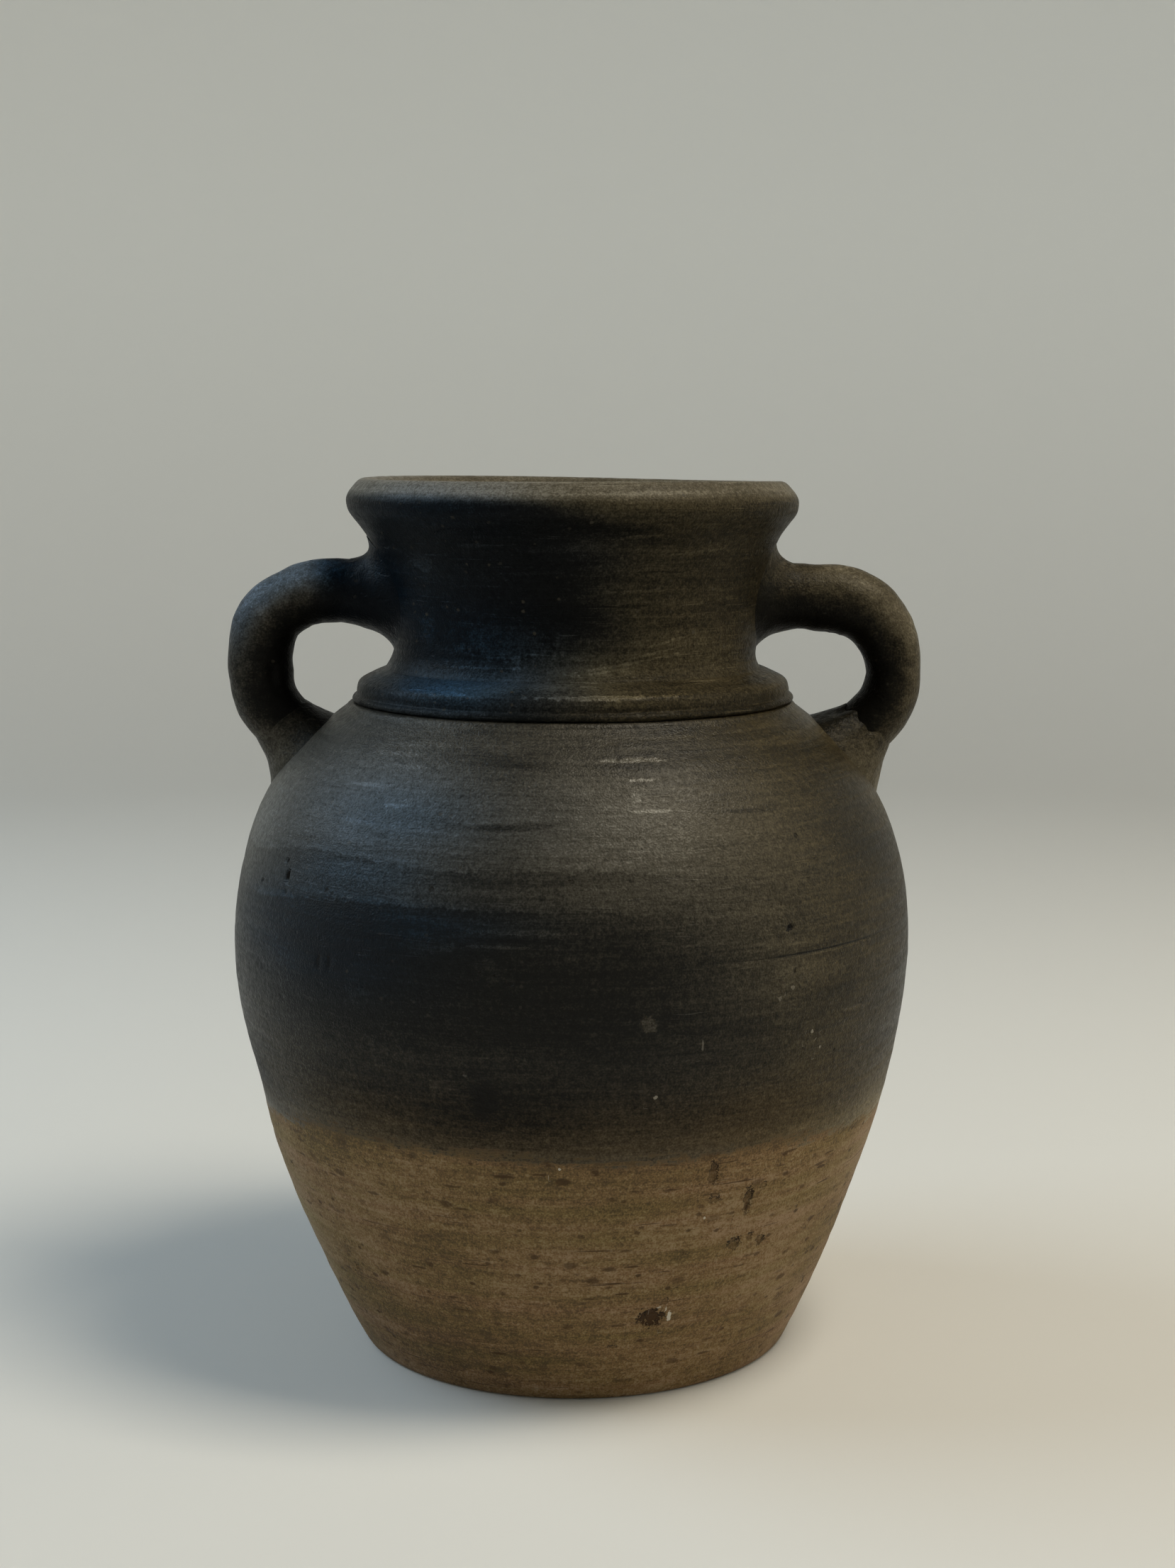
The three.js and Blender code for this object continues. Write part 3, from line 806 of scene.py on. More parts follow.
def skinned(name, rings, closed=False, caps=()):
    """Mesh object over rings of points in millimetres, each ring joined to the next.

    caps lists the end rings, 0 or -1, that are closed by a fan of faces.
    """
    rows, turns = rings.shape[:2]
    points = rings.reshape(-1, 3)
    index = np.arange(rows * turns).reshape(rows, turns)
    onward = np.roll(index, -1, axis=1)
    last = rows if closed else rows - 1
    above = np.roll(index, -1, axis=0)[:last], np.roll(onward, -1, axis=0)[:last]
    faces = np.stack([index[:last], onward[:last], above[1], above[0]], axis=-1).reshape(-1, 4).tolist()
    for end in caps:
        first, second = (onward, index) if end == 0 else (index, onward)
        faces += [(a, b, len(points)) for a, b in zip(first[end], second[end])]
        points = np.concatenate([points, rings[[end]].mean(axis=1)])
    mesh = bpy.data.meshes.new(name)
    mesh.from_pydata((points * MM).tolist(), [], faces)
    mesh.polygons.foreach_set("use_smooth", np.ones(len(mesh.polygons), dtype=bool))
    mesh.set_sharp_from_angle(angle=math.radians(SHARP_EDGE))
    mesh.update()
    piece = bpy.data.objects.new(name, mesh)
    bpy.context.scene.collection.objects.link(piece)
    return piece


def circle(count):
    """Turns of a full circle in radians."""
    return np.linspace(0, 2 * np.pi, count, endpoint=False)


def turned(zones, turns, relief):
    """Rings of a turned piece: zones of (points, outside) are run together and worked by relief.

    relief(turn, high, place, outside) gives how far each place stands out from the plain wall.
    With the rings come the turn, height and place of each point on the plain wall, and its outside.
    """
    line = np.concatenate([points for points, _ in zones])
    normal = np.concatenate([outward(headings(points)) for points, _ in zones])
    sides = np.concatenate([np.full(len(points), side, dtype=float) for points, side in zones])
    turn = np.linspace(-180, 180, turns, endpoint=False)[None, :] + np.zeros((len(line), 1))
    high = line[:, 1:] + np.zeros_like(turn)
    outside = sides[:, None] + np.zeros_like(turn)
    swing = np.radians(turn)

    def rings(radius, level):
        return np.stack([radius * np.sin(swing), -radius * np.cos(swing), level], axis=-1)

    place = rings(line[:, :1], high)
    proud = relief(turn, high, place, outside)
    worked = rings(line[:, :1] + normal[:, :1] * proud, high + normal[:, 1:] * proud)
    return worked, (turn, high, place), outside


def swell(value, middle, half):
    """A soft swell, 1 in its middle."""
    return np.exp(-(((value - middle) / half) ** 2))


def wound(turn, high, pitch, start=0):
    """A wave that climbs by its pitch in each turn, as the wheel leaves it."""
    return np.sin(2 * np.pi * (high / pitch + turn / 360) + start)


def ridges(turn, high, place, height):
    """Fine spiral ridges that the wheel leaves."""
    spiral = wound(turn, high, 4.3) * (0.5 + 0.5 * uneven(place, (40, 40, 12), 41))
    wide = wound(turn, high, 9.7, 1.2) * (0.6 + 0.4 * uneven(place, (60, 60, 20), 42))
    drawn = uneven(place, (70, 70, 2.9), 43) + 0.7 * uneven(place, (34, 34, 4.6), 44)
    return height * (0.45 * spiral + 0.6 * wide + 0.9 * drawn)


def finger_spiral(turn, high, place):
    """Broader finger grooves inside."""
    return 0.3 * wound(turn, high, 9) + 0.2 * uneven(place, (30, 30, 8), 45)


def body_relief(sizes, surface):
    """How far the body's walls, with their flats, pits and seam, stand out from the plain shape."""
    seam = in_mm(sizes.seam_height)
    radius = in_mm(sizes.belly_radius)

    def relief(turn, high, place, outside):
        lump = in_mm(surface.lump) * (uneven(place, (70, 70, 45), 51) + 0.4 * uneven(place, (26, 26, 15), 52))
        flats = sum(deep * oval(turn, high, *shape) for *shape, deep in FLATS)
        pits = hollows(PITS + CHIPS, turn, high, place, radius)
        groove = in_mm(surface.seam_groove) * plateau(turn, *SEAM_SHOWS) * swell(high, seam, 0.4)
        fine = ridges(turn, high, place, in_mm(surface.ridge)) + 0.03 * uneven(place, 2.1, 53)
        fine = fine * (1 - swell(high, seam, 1.6))
        worked = lump + fine - flats - pits - groove
        worked = worked * plateau(high, 0.2, 6, 184, 187)
        fingers = 0.6 * finger_spiral(turn, high, place) * soft_step(high, 12, 30)
        return np.where(outside > 0, worked, fingers * soft_step(abs(high - seam), 3, 12))

    return relief


def smoke_edge(edge, turn, high, place, strength):
    """How far a place lies under the edge of a smoke layer, and how dark the layer is there."""
    turns, heights, plainness = edge
    level = np.interp(turn, turns, heights) + 0.5 * uneven(place, (12, 12, 30), 61)
    dark = np.interp(turn, turns, plainness) * np.exp(-np.abs(level - high) / EDGE_FADE)
    return np.clip(level - high, -EDGE_REACH, EDGE_REACH), strength * dark


def body_marks(turn, high, place):
    """Smoke, its edges and casts, chips and flakes on the outside of the body."""
    wander = 1.6 * uneven(place, (26, 26, 60), 63) + 0.8 * uneven(place, (9, 9, 2.4), 64)
    smoke = np.interp(high + wander, SMOKE_HEIGHTS, SMOKE_LEVELS) + patches(SMUDGES, turn, high, place)
    upper, upper_dark = smoke_edge(UPPER_EDGE, turn, high, place, 0.22)
    lower, lower_dark = smoke_edge(LOWER_EDGE, turn, high, place, 0.28)
    none = np.zeros_like(smoke)
    scorch = plateau(high, 70, 80, 84, 106)
    scorch = scorch * (1 - 0.6 * soft_step(-turn, 30, 60)) * (1 - 0.8 * soft_step(turn, 25, 55))
    return {
        "smoke": np.maximum(smoke, -1),
        "bare": np.clip(np.interp(turn, *BARE_EDGE) - high + BARE_FADE, 0, 2 * BARE_FADE),
        # Blue-black smoke, partly painted cool light from the left
        "blue": patches(BLUE_PATCHES, turn, high, place),
        "scorch": scorch,
        # Brown of the thinner smoke on the right, partly painted warmer light from the right
        "warm": plateau(turn, 14, 55, 120, 160),
        "tide": np.stack([upper, lower, none], axis=-1),
        "tide_dark": np.stack([upper_dark, lower_dark, none], axis=-1),
        "flake": spots(FLAKES, turn, high, BODY_SPAN),
        **numbered("soot", SOOT_AND_GLINT_SETS, turn, high, BODY_SPAN),
        **numbered("hollow", HOLLOW_SETS, turn, high, BODY_SPAN),
    }


def neck_marks(turn, high, place):
    """Smoke and its casts on the neck and the cordon."""
    divide = np.interp(high, *NECK_DIVIDE) + 4 * uneven(place, (12, 12, 3), 66)
    left = plateau(turn, -150, -105, divide - 13, divide + 13)
    smoke = 0.66 + 0.42 * left + 0.05 * uneven(place, (20, 20, 6), 65)
    smoke = smoke + patches(NECK_SMUDGES, turn, high, place)
    lip = soft_step(high, 243.4, 247.4)
    return {
        "smoke": smoke + (0.24 - 0.20 * left - smoke) * 0.9 * lip,
        # Blue-black smoke, partly painted cool light from the left
        "blue": patches(NECK_BLUES, turn, high, place) * (1 - 0.8 * lip),
        # Brown of the thinner smoke on the right, partly painted warmer light from the right
        "warm": 0.75 * (1 - left) * (1 - 0.6 * lip),
        **numbered("soot", NECK_SOOT_AND_GLINT_SETS, turn, high, NECK_SPAN),
    }


def handle_marks(rings, inner):
    """Smoke on a handle or a wad, with painted shade inside the loop and painted light on its outside; inner
    runs from -1 outside the loop to 1 inside it.
    """
    turn, high = np.degrees(np.arctan2(rings[..., 0], -rings[..., 1])), rings[..., 2]
    left = rings[..., 0] < 0
    near = 1 - soft_step(np.abs(rings[..., 0]), 62, 76)
    smoke = 0.60 + patches(HANDLE_SMUDGES, turn, high, rings) + 0.12 * uneven(rings, 11, 91)
    # Painted shade darkens the inside of the loop, and painted light lightens its outside
    smoke = smoke + 0.50 * soft_step(inner, -0.4, 0.7) - 0.24 * soft_step(-inner, 0.0, 0.9)
    smoke = smoke + np.where(left, 0.66, 0.26) * near
    blue = 0.75 * near * soft_step(high, 196, 206)
    # Painted cool sheen on the outside of the left handle's upper part
    blue = blue + 0.5 * soft_step(-inner, -0.3, 0.7) * soft_step(high, 192, 216)
    # The left handle's bluish cast is partly painted cool light, and the right handle's brown cast partly
    # painted warmer light
    return {"smoke": smoke, "blue": np.where(left, blue, 0), "warm": np.where(left, 0, 0.5)}


# Finishes

# Noises of the clay: waves in a metre along each axis, seed, detail and roughness. The wheel draws
# some of them out into level streaks, and in clay that is pulled or pressed they are even.
DRAWN_GRAIN = {
    "streak": ((36, 36, 640), 1.3, 4.0, 0.62),
    "stroke": ((12, 12, 230), 4.1, 3.0),
    "line": ((50, 50, 1500), 9.2, 2.0),
}
PRESSED_GRAIN = {
    "streak": ((190, 190, 190), 1.3, 4.0, 0.6),
    "stroke": ((70, 70, 70), 4.1, 2.0),
    "line": ((500, 500, 500), 9.2, 2.0),
}
ALL_GRAIN = {
    "cloud": ((30, 30, 36), 7.7, 3.0),
    "mottle": ((230, 230, 330), 2.9, 3.0, 0.6),
    "pebble": ((760, 760, 820), 5.2, 2.0),
    "grit": ((1900, 1900, 1900), 6.6, 1.0),
}
RAW_GRAIN = {
    "groove": ((20, 20, 420), 2.2, 4.0),
    "cloud": ((45, 45, 45), 8.1, 3.0),
    "grain": ((900, 900, 900), 3.1, 3.0),
}
FLOOR_GRAIN = {"weave": ((300, 300, 300), 1.0, 2.0)}

# Dark specks and dashes in the bare clay: cells in a metre along each axis, seed, reach in a cell
# and share of the cells that hold one
BARE_SPECKS = (
    ((100, 100, 210), 6.4, 0.26, 0.40),
    ((250, 250, 400), 2.7, 0.30, 0.36),
    ((90, 90, 560), 5.9, 0.28, 0.34),
)

# Heights of the grains in the clay's fine relief, and the height in metres that 1 stands for
RELIEF = {"streak": 0.4, "line": 0.3, "pebble": 0.7, "mottle": 0.12, "grit": 0.8}
RELIEF_HEIGHT = 0.0002
RAW_RELIEF_HEIGHT = 0.00012

# The smoked finishes: how much each shines, how blotched it is, how much pale specks, partly painted sparkle,
# fleck it, and the marks it reads
COATS = {
    "smoked_body": {"shine": 0.14, "soot_and_glint_sets": len(SOOT_AND_GLINT_SETS), "hollow_sets": len(HOLLOW_SETS)},
    "smoked_neck": {"shine": 0.05, "soot_and_glint_sets": len(NECK_SOOT_AND_GLINT_SETS), "flecked_and_sparkling": 0.85},
    "smoked_handles": {"shine": 0.06, "grain": PRESSED_GRAIN, "blotched": 0.42},
}


class Finish:
    """A node material, with short ways to add its nodes."""

    def __init__(self, name, grain):
        self.material = bpy.data.materials.new(name)
        self.material.use_nodes = True
        self.tree = self.material.node_tree
        self.shader = self.tree.nodes["Principled BSDF"]
        self.place = self.add("ShaderNodeTexCoord").outputs["Object"]
        self.grain = {kind: self.noise(*shape) for kind, shape in grain.items()}

    def add(self, kind, settings=None, **sockets):
        node = self.tree.nodes.new(kind)
        for name, value in (settings or {}).items():
            setattr(node, name, value)
        for name, value in sockets.items():
            self.put(node.inputs[name.replace("_", " ")], value)
        return node

    def put(self, socket, value):
        if isinstance(value, bpy.types.NodeSocket):
            self.tree.links.new(value, socket)
        else:
            socket.default_value = value

    def chain(self, operation, first, *others):
        """Numbers put together one after another by one operation."""
        for other in others:
            node = self.add("ShaderNodeMath", {"operation": operation})
            self.put(node.inputs[0], first)
            self.put(node.inputs[1], other)
            first = node.outputs[0]
        return first

    def total(self, *parts):
        return self.chain("ADD", *parts)

    def times(self, *parts):
        return self.chain("MULTIPLY", *parts)

    def swing(self, noise, size):
        """A noise of 0 to 1 as a change of plus or minus half the size."""
        return self.times(self.total(noise, -0.5), size)

    def swung(self, value, **sizes):
        """A value that the finish's grains change, each by plus or minus half its size."""
        return self.total(value, *(self.swing(self.grain[kind], size) for kind, size in sizes.items()))

    def spread(self, value, low, high, low_to=0.0, high_to=1.0):
        """A value taken softly from one range to another."""
        node = self.add("ShaderNodeMapRange", {"interpolation_type": "SMOOTHSTEP"}, Value=value)
        for name, number in (("From Min", low), ("From Max", high), ("To Min", low_to), ("To Max", high_to)):
            node.inputs[name].default_value = number
        return node.outputs["Result"]

    def fade(self, value, low, high):
        """1 below a range, 0 above it."""
        return self.spread(value, low, high, 1.0, 0.0)

    def mark(self, name):
        return self.add("ShaderNodeAttribute", {"attribute_name": name}).outputs["Fac"]

    def field(self, name):
        """The three numbers of a vector mark."""
        vector = self.add("ShaderNodeAttribute", {"attribute_name": name}).outputs["Vector"]
        parts = self.add("ShaderNodeSeparateXYZ", Vector=vector).outputs
        return parts["X"], parts["Y"], parts["Z"]

    def spot(self, name, ragged):
        """Distance from the middle of a mark, 1 at its ragged edge, how high up it, and its strength."""
        across, up, strength = self.field(name)
        apart = self.chain("POWER", self.total(self.times(across, across), self.times(up, up)), 0.5)
        return self.total(apart, ragged), up, strength

    def stretched(self, scale, seed):
        mapping = self.add("ShaderNodeMapping", Vector=self.place)
        mapping.inputs["Scale"].default_value = scale
        mapping.inputs["Location"].default_value = (seed, seed * 1.7, seed * 0.6)
        return mapping.outputs["Vector"]

    def noise(self, scale, seed, detail, roughness=0.55):
        place = self.stretched(scale, seed)
        node = self.add("ShaderNodeTexNoise", Vector=place, Scale=1.0, Detail=detail, Roughness=roughness)
        return node.outputs["Fac"]

    def specks(self, scale, seed, reach, share, ragged):
        """Ragged spots in some cells of a scatter, as a share of 0 to 1."""
        place = self.stretched(scale, seed)
        cells = self.add("ShaderNodeTexVoronoi", Vector=place, Scale=1.0, Randomness=1.0)
        chosen = self.add("ShaderNodeSeparateColor", Color=cells.outputs["Color"]).outputs
        apart = self.total(cells.outputs["Distance"], self.swing(ragged, reach * 1.8))
        strength = self.total(self.times(chosen["Green"], 0.7), 0.3)
        held = self.chain("LESS_THAN", chosen["Red"], share)
        return self.times(self.fade(apart, reach * 0.5, reach), strength, held)

    def mix(self, share, first, second, blend="MIX"):
        """One colour laid over another by a share."""
        node = self.add("ShaderNodeMix", {"data_type": "RGBA", "blend_type": blend, "clamp_factor": True})
        self.put(node.inputs[0], share)
        for socket, tint in zip(node.inputs[6:8], (first, second)):
            self.put(socket, tint if isinstance(tint, bpy.types.NodeSocket) else (*tint, 1))
        return node.outputs[2]

    def blend(self, share, first, second):
        """One number laid over another by a share."""
        node = self.add("ShaderNodeMix", {"data_type": "FLOAT", "clamp_factor": True})
        self.put(node.inputs[0], share)
        self.put(node.inputs[2], first)
        self.put(node.inputs[3], second)
        return node.outputs[0]

    def ramp(self, value, stops):
        node = self.add("ShaderNodeValToRGB", Fac=value)
        elements = node.color_ramp.elements
        while len(elements) < len(stops):
            elements.new(0.5)
        for element, (position, tint) in zip(elements, stops):
            element.position = position
            element.color = (*tint, 1)
        return node.outputs["Color"]

    def coat(self, tint, roughness, shine):
        self.put(self.shader.inputs["Base Color"], tint)
        self.put(self.shader.inputs["Roughness"], roughness)
        self.shader.inputs["Specular IOR Level"].default_value = shine

    def bumped(self, height, distance):
        bump = self.add("ShaderNodeBump", Height=height, Strength=1.0, Distance=distance)
        self.put(self.shader.inputs["Normal"], bump.outputs["Normal"])


class SmokedClay(Finish):
    """Clay that is bare where the smoke mark is 0 and blackens as it nears 1."""

    def __init__(
        self, name, finish, shine, grain=DRAWN_GRAIN, blotched=0.15, flecked_and_sparkling=0.5, soot_and_glint_sets=0, hollow_sets=0
    ):
        super().__init__(name, grain | ALL_GRAIN)
        self.finish = finish
        self.pinholes = self.specks((105, 105, 130), 8.8, 0.085, 0.22, self.grain["mottle"])
        smoke, rubbed = self.smoke(soot_and_glint_sets)
        bare, specks = self.bare(smoke)
        edge = self.swung(self.times(self.mark("bare"), -1.0), streak=11.0, mottle=8.0, pebble=5.0, grit=3.0)
        covered = self.spread(edge, -BARE_FADE - 1.5, -BARE_FADE + 1.2)
        tint = self.mix(covered, bare, self.smoked(smoke, blotched, flecked_and_sparkling))
        tint, floor = self.chipped(tint, covered, hollow_sets)
        burnish = self.swung(finish.smoke_roughness, streak=-0.3, mottle=0.15, pebble=0.35)
        burnish = self.total(burnish, self.times(self.mark("scorch"), 0.3), self.times(rubbed, 0.7))
        dull = self.swung(finish.bare_roughness, mottle=0.2)
        self.coat(tint, self.blend(covered, dull, burnish), shine)
        heights = [(self.grain[kind], height) for kind, height in RELIEF.items()]
        heights += [(specks, -0.6), (self.pinholes, -1.2), (floor, -2.5)]
        self.bumped(self.total(*(self.times(*height) for height in heights)), RELIEF_HEIGHT)

    def both(self, low, high, second_low, second_high):
        """Where a fine line and a broad stroke are both strong."""
        line = self.spread(self.grain["line"], low, high)
        return self.times(line, self.spread(self.grain["stroke"], second_low, second_high))

    def smoke(self, soot_and_glint_sets):
        """How dark the smoke is, with its layers' edges, ragged soot and painted highlight glints, and where
        strokes lighten it, both rubbed places and glints.
        """
        smoke, rubbed = self.mark("smoke"), 0.0
        wobble = self.swung(0.0, mottle=1.6, pebble=1.6)
        for edge, dark in list(zip(self.field("tide"), self.field("tide_dark")))[:2]:
            under = self.spread(self.total(edge, wobble), -0.4, 0.4, -0.35, 0.65)
            smoke = self.total(smoke, self.times(under, dark))
        ragged = self.swung(0.0, mottle=1.6, pebble=1.2)
        for k in range(soot_and_glint_sets):
            apart, _, strength = self.spot(f"soot_{k}", ragged)
            change = self.times(self.fade(apart, 0.55, 1.05), strength)
            smoke = self.total(smoke, change)
            rubbed = self.total(rubbed, self.chain("MINIMUM", change, 0.0))
        return smoke, rubbed

    def smoked(self, smoke, blotched, flecked_and_sparkling):
        """Colour of the smoked clay."""
        finish = self.finish
        level = self.swung(
            smoke, streak=0.42, stroke=0.26, cloud=0.18, mottle=blotched, line=0.30, pebble=0.50, grit=0.70
        )
        level = self.total(level, self.times(self.both(0.58, 0.70, 0.44, 0.58), -0.36 * flecked_and_sparkling))
        tint = self.ramp(self.times(level, 0.8), (
            (0.0, finish.worn_smoke_and_glint),
            (0.24, finish.thin_smoke),
            (0.416, finish.smoke_grey),
            (0.576, finish.smoke_brown),
            (0.76, finish.smoke_black),
            (1.0, finish.soot),
        ))
        # Of these casts, the bluish one holds painted cool light from the left and the brownish one painted
        # warmer light from the right, beside the smoke's own colour
        casts = {"blue": finish.blue_smoke_and_cool_light_tint, "scorch": finish.scorch_tint, "warm": finish.brown_smoke_and_warm_light_tint}
        for kind, cast_tint in casts.items():
            tint = self.mix(self.mark(kind), tint, cast_tint, "MULTIPLY")
        # Pale specks in the smoke, partly real pale marks and partly painted sparkle of highlights on the
        # grains
        flecks_and_sparkle = self.specks((330, 330, 380), 3.3, 0.22, 0.20, self.grain["pebble"])
        tint = self.mix(self.times(flecks_and_sparkle, flecked_and_sparkling), tint, finish.smoke_grey)
        return self.mix(self.times(self.pinholes, 0.8), tint, finish.soot)

    def bare(self, smoke):
        """Colour of the bare clay, and its dark specks and cracks."""
        finish = self.finish
        tone = self.swung(
            0.5, streak=0.8, stroke=0.6, cloud=1.1, mottle=0.9, line=0.6, pebble=1.0, grit=1.5
        )
        tone = self.total(tone, self.times(smoke, -0.6))
        tint = self.ramp(tone, ((0.0, finish.bare_dark), (0.5, finish.bare), (1.0, finish.bare_pale_and_sheen)))
        bands = self.swung(0.5, stroke=2.2, cloud=1.6)
        bands = self.ramp(bands, ((0.1, finish.olive_cast), (0.9, finish.rosy_cast)))
        tint = self.mix(1.0, tint, bands, "MULTIPLY")
        specks = [self.specks(*shape, self.grain["mottle"]) for shape in BARE_SPECKS]
        specks = self.chain("MAXIMUM", *specks, self.both(0.63, 0.69, 0.52, 0.62))
        return self.mix(self.times(specks, 0.9), tint, finish.bare_speck), specks

    def chipped(self, tint, covered, hollow_sets):
        """A colour with chips, pits and flakes in it, and how deep the hollows are."""
        if not hollow_sets:
            return tint, 0.0
        finish, floor = self.finish, 0.0
        hollow = self.mix(covered, finish.chip, finish.soot)
        flaked = self.swung(self.swing(self.noise((700, 700, 700), 3.9, 3.0, 0.6), 3.2), grit=0.8)
        for k in range(hollow_sets):
            apart, up, deep = self.spot(f"hollow_{k}", flaked)
            inside = self.times(self.fade(apart, 0.86, 1.0), deep)
            # Painted shade: a dark outline round each hollow, strongest on its upper side, which light from
            # above leaves in shadow
            rim = self.times(self.spread(apart, 0.66, 0.84), self.fade(apart, 1.0, 1.14))
            rim = self.times(rim, self.spread(up, -0.9, 0.5, 0.35, 1.0), self.spread(deep, 0.0, 0.2))
            tint = self.mix(self.times(inside, deep, 1.5), tint, hollow)
            tint = self.mix(self.times(rim, 0.95), tint, finish.chip_edge)
            floor = self.total(floor, inside)
        apart, _, strength = self.spot("flake", flaked)
        return self.mix(self.times(self.fade(apart, 0.8, 1.0), strength), tint, finish.flake), floor


class RawClay(Finish):
    """Raw, unburnished clay inside the jar, darker in the low parts of its finger grooves."""

    def __init__(self, name, finish):
        super().__init__(name, RAW_GRAIN)
        dark = tuple(0.45 * part for part in finish.inside)
        tint = self.ramp(self.swung(0.5, groove=0.9, cloud=0.8), ((0.1, dark), (0.9, finish.inside)))
        self.coat(tint, self.swung(0.8, grain=0.2), 0.3)
        height = self.total(self.times(self.grain["groove"], 0.8), self.grain["grain"])
        self.bumped(height, RAW_RELIEF_HEIGHT)


class FloorPaint(Finish):
    """Matt paint of the stage, which passes from the floor's colour to the backdrop's."""

    def __init__(self, name, stage):
        super().__init__(name, FLOOR_GRAIN)
        height = self.add("ShaderNodeSeparateXYZ", Vector=self.place).outputs["Z"]
        rise = self.swung(self.spread(height, 0.0, 0.5), weave=0.02)
        self.coat(self.mix(rise, stage.floor, stage.backdrop), 0.9, 0.1)


def marked(piece, marks):
    """Writes one number or vector per point for each mark that the finish reads."""
    points = len(piece.data.vertices)
    for name, values in marks.items():
        kind, field, parts = ("FLOAT", "value", 1) if values.ndim == 2 else ("FLOAT_VECTOR", "vector", 3)
        flat = values.reshape(-1, parts).astype(np.float32)
        flat = np.pad(flat, ((0, points - len(flat)), (0, 0)), mode="edge")
        piece.data.attributes.new(name, kind, "POINT").data.foreach_set(field, flat.ravel())


def clad(piece, finish, coat, outside=None):
    """Gives a piece its smoked finish, and raw clay on the faces that start at an inside ring."""
    smoked = bpy.data.materials.get(coat) or SmokedClay(coat, finish, **COATS[coat]).material
    piece.data.materials.append(smoked)
    if outside is None:
        return
    raw = bpy.data.materials.get("raw_inside_clay") or RawClay("raw_inside_clay", finish).material
    piece.data.materials.append(raw)
    ring = np.array([face.vertices[0] for face in piece.data.polygons]) // outside.shape[1]
    piece.data.polygons.foreach_set("material_index", (outside[ring, 0] == 0).astype(np.int32))


def placed(node, rings, marks, finish, coat, outside=None, slot="smoked_clay", **ends):
    """Skins, marks and clads a piece, and puts it on the frame in place of its plain node."""
    piece = skinned(f"jar_{node}", rings, **ends)
    marked(piece, marks)
    clad(piece, finish, coat, outside)
    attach(piece, "root")
    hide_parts(node)


# Operators

class JarOperator:
    """What the jar's operators share."""

    bl_options = {"REGISTER", "UNDO"}

    @staticmethod
    def settings(context):
        scene = context.scene
        return scene.jar_sizes, scene.jar_surface, scene.jar_finish


def seam_zone(sizes, line):
    """Key and inner edge of the seam between the halves."""
    level = in_mm(sizes.seam_height)
    outer = between(line, level, level, 1)[0]
    way = along(line, np.interp(level, line[:, 1], runs(line)) + np.array((-0.5, 0.5)))
    inner = outer - outward(headings(way))[0] * in_mm(sizes.body_wall)
    key = (outer + inner) / 2 - (0, SEAM_KEY)
    return key, inner


def inner_wall(sizes, line, low, high, count):
    """Inside of the body between two places of its outer line."""
    points = between(line, low, high, count)
    return points - outward(headings(points)) * in_mm(sizes.body_wall)


def straight(start, end, count):
    """Evenly spaced points of a straight line."""
    return evened(np.array((start, end)), count)


def throw_half(node, settings, zones, **ends):
    """Makes one half of the body from its zones, with the foot a little off the axis."""
    sizes, surface, finish = settings
    rings, where, outside = turned(zones, BODY_TURNS, body_relief(sizes, surface))
    rings[..., 0] += in_mm(surface.lean) * (1 - soft_step(rings[..., 2], 4, 75))
    placed(node, rings, body_marks(*where), finish, "smoked_body", outside, **ends)


class JAR_OT_throw_lower_body(JarOperator, bpy.types.Operator):
    """Throws the lower half of the body, a bowl with its floor"""

    bl_idname = "jar.throw_lower_body"
    bl_label = "Throw lower body"

    def execute(self, context):
        sizes = context.scene.jar_sizes
        line = body_line(sizes)
        foot, edge = in_mm(sizes.foot_radius), in_mm(sizes.foot_edge)
        worn = edge * math.tan((math.pi / 2 - sizes.foot_flare) / 2)
        start = along(line, worn)
        seam, floor = in_mm(sizes.seam_height), in_mm(sizes.floor)
        key, inner = seam_zone(sizes, line)
        wall = inner_wall(sizes, line, 20, seam - 3, 15)[::-1]
        cove = curve(wall[-1], (wall[-1][0] - 5, floor), (wall[-1][0] - 12, floor), count=5)
        zones = (
            (straight((MIDDLE_HOLE, 0), (foot - worn, 0), 9), 1),
            (curve((foot - worn, 0), (foot, 0), start, count=6)[1:-1], 1),
            (between(line, start[1], seam - 0.9, 122), 1),
            (between(line, seam - 0.55, seam, 3), 1),
            (np.array((key, inner)), 0),
            (wall, 0),
            (cove[1:], 0),
            (straight((cove[-1][0] - 6, floor), (MIDDLE_HOLE, floor), 5), 0),
        )
        throw_half("lower_body", self.settings(context), zones, slot="bare_clay", caps=(0, -1))
        return {"FINISHED"}


class JAR_OT_throw_shoulder(JarOperator, bpy.types.Operator):
    """Throws the upper half of the body, a dome drawn in to the neck's seat"""

    bl_idname = "jar.throw_shoulder"
    bl_label = "Throw shoulder"

    def execute(self, context):
        sizes = context.scene.jar_sizes
        line = body_line(sizes)
        seam, seat = in_mm(sizes.seam_height), in_mm(sizes.seat_height)
        key, inner = seam_zone(sizes, line)
        bore = in_mm(sizes.waist_radius - sizes.neck_wall)
        ledge = seat - in_mm(sizes.body_wall)
        wall = inner_wall(sizes, line, seam + 3, seat - 6, 22)
        wall = wall[wall[:, 1] < ledge - 0.5][::-1]
        rim = between(line, seat - 1.5, seat - 1.5, 1)[0]
        zones = (
            (between(line, seam, seam + 0.55, 3), 1),
            (between(line, seam + 0.9, seat - 1.5, 100), 1),
            (curve(rim, (rim[0] - 0.4, seat - 0.2), (rim[0] - 2.2, seat), count=6)[1:], 1),
            (straight((rim[0] - 6, seat), (bore, seat), 3), 0),
            (straight((bore, seat - 1), (bore, ledge), 4), 0),
            (wall, 0),
            (np.array((inner, key)), 0),
        )
        throw_half("shoulder", self.settings(context), zones, closed=True)
        return {"FINISHED"}


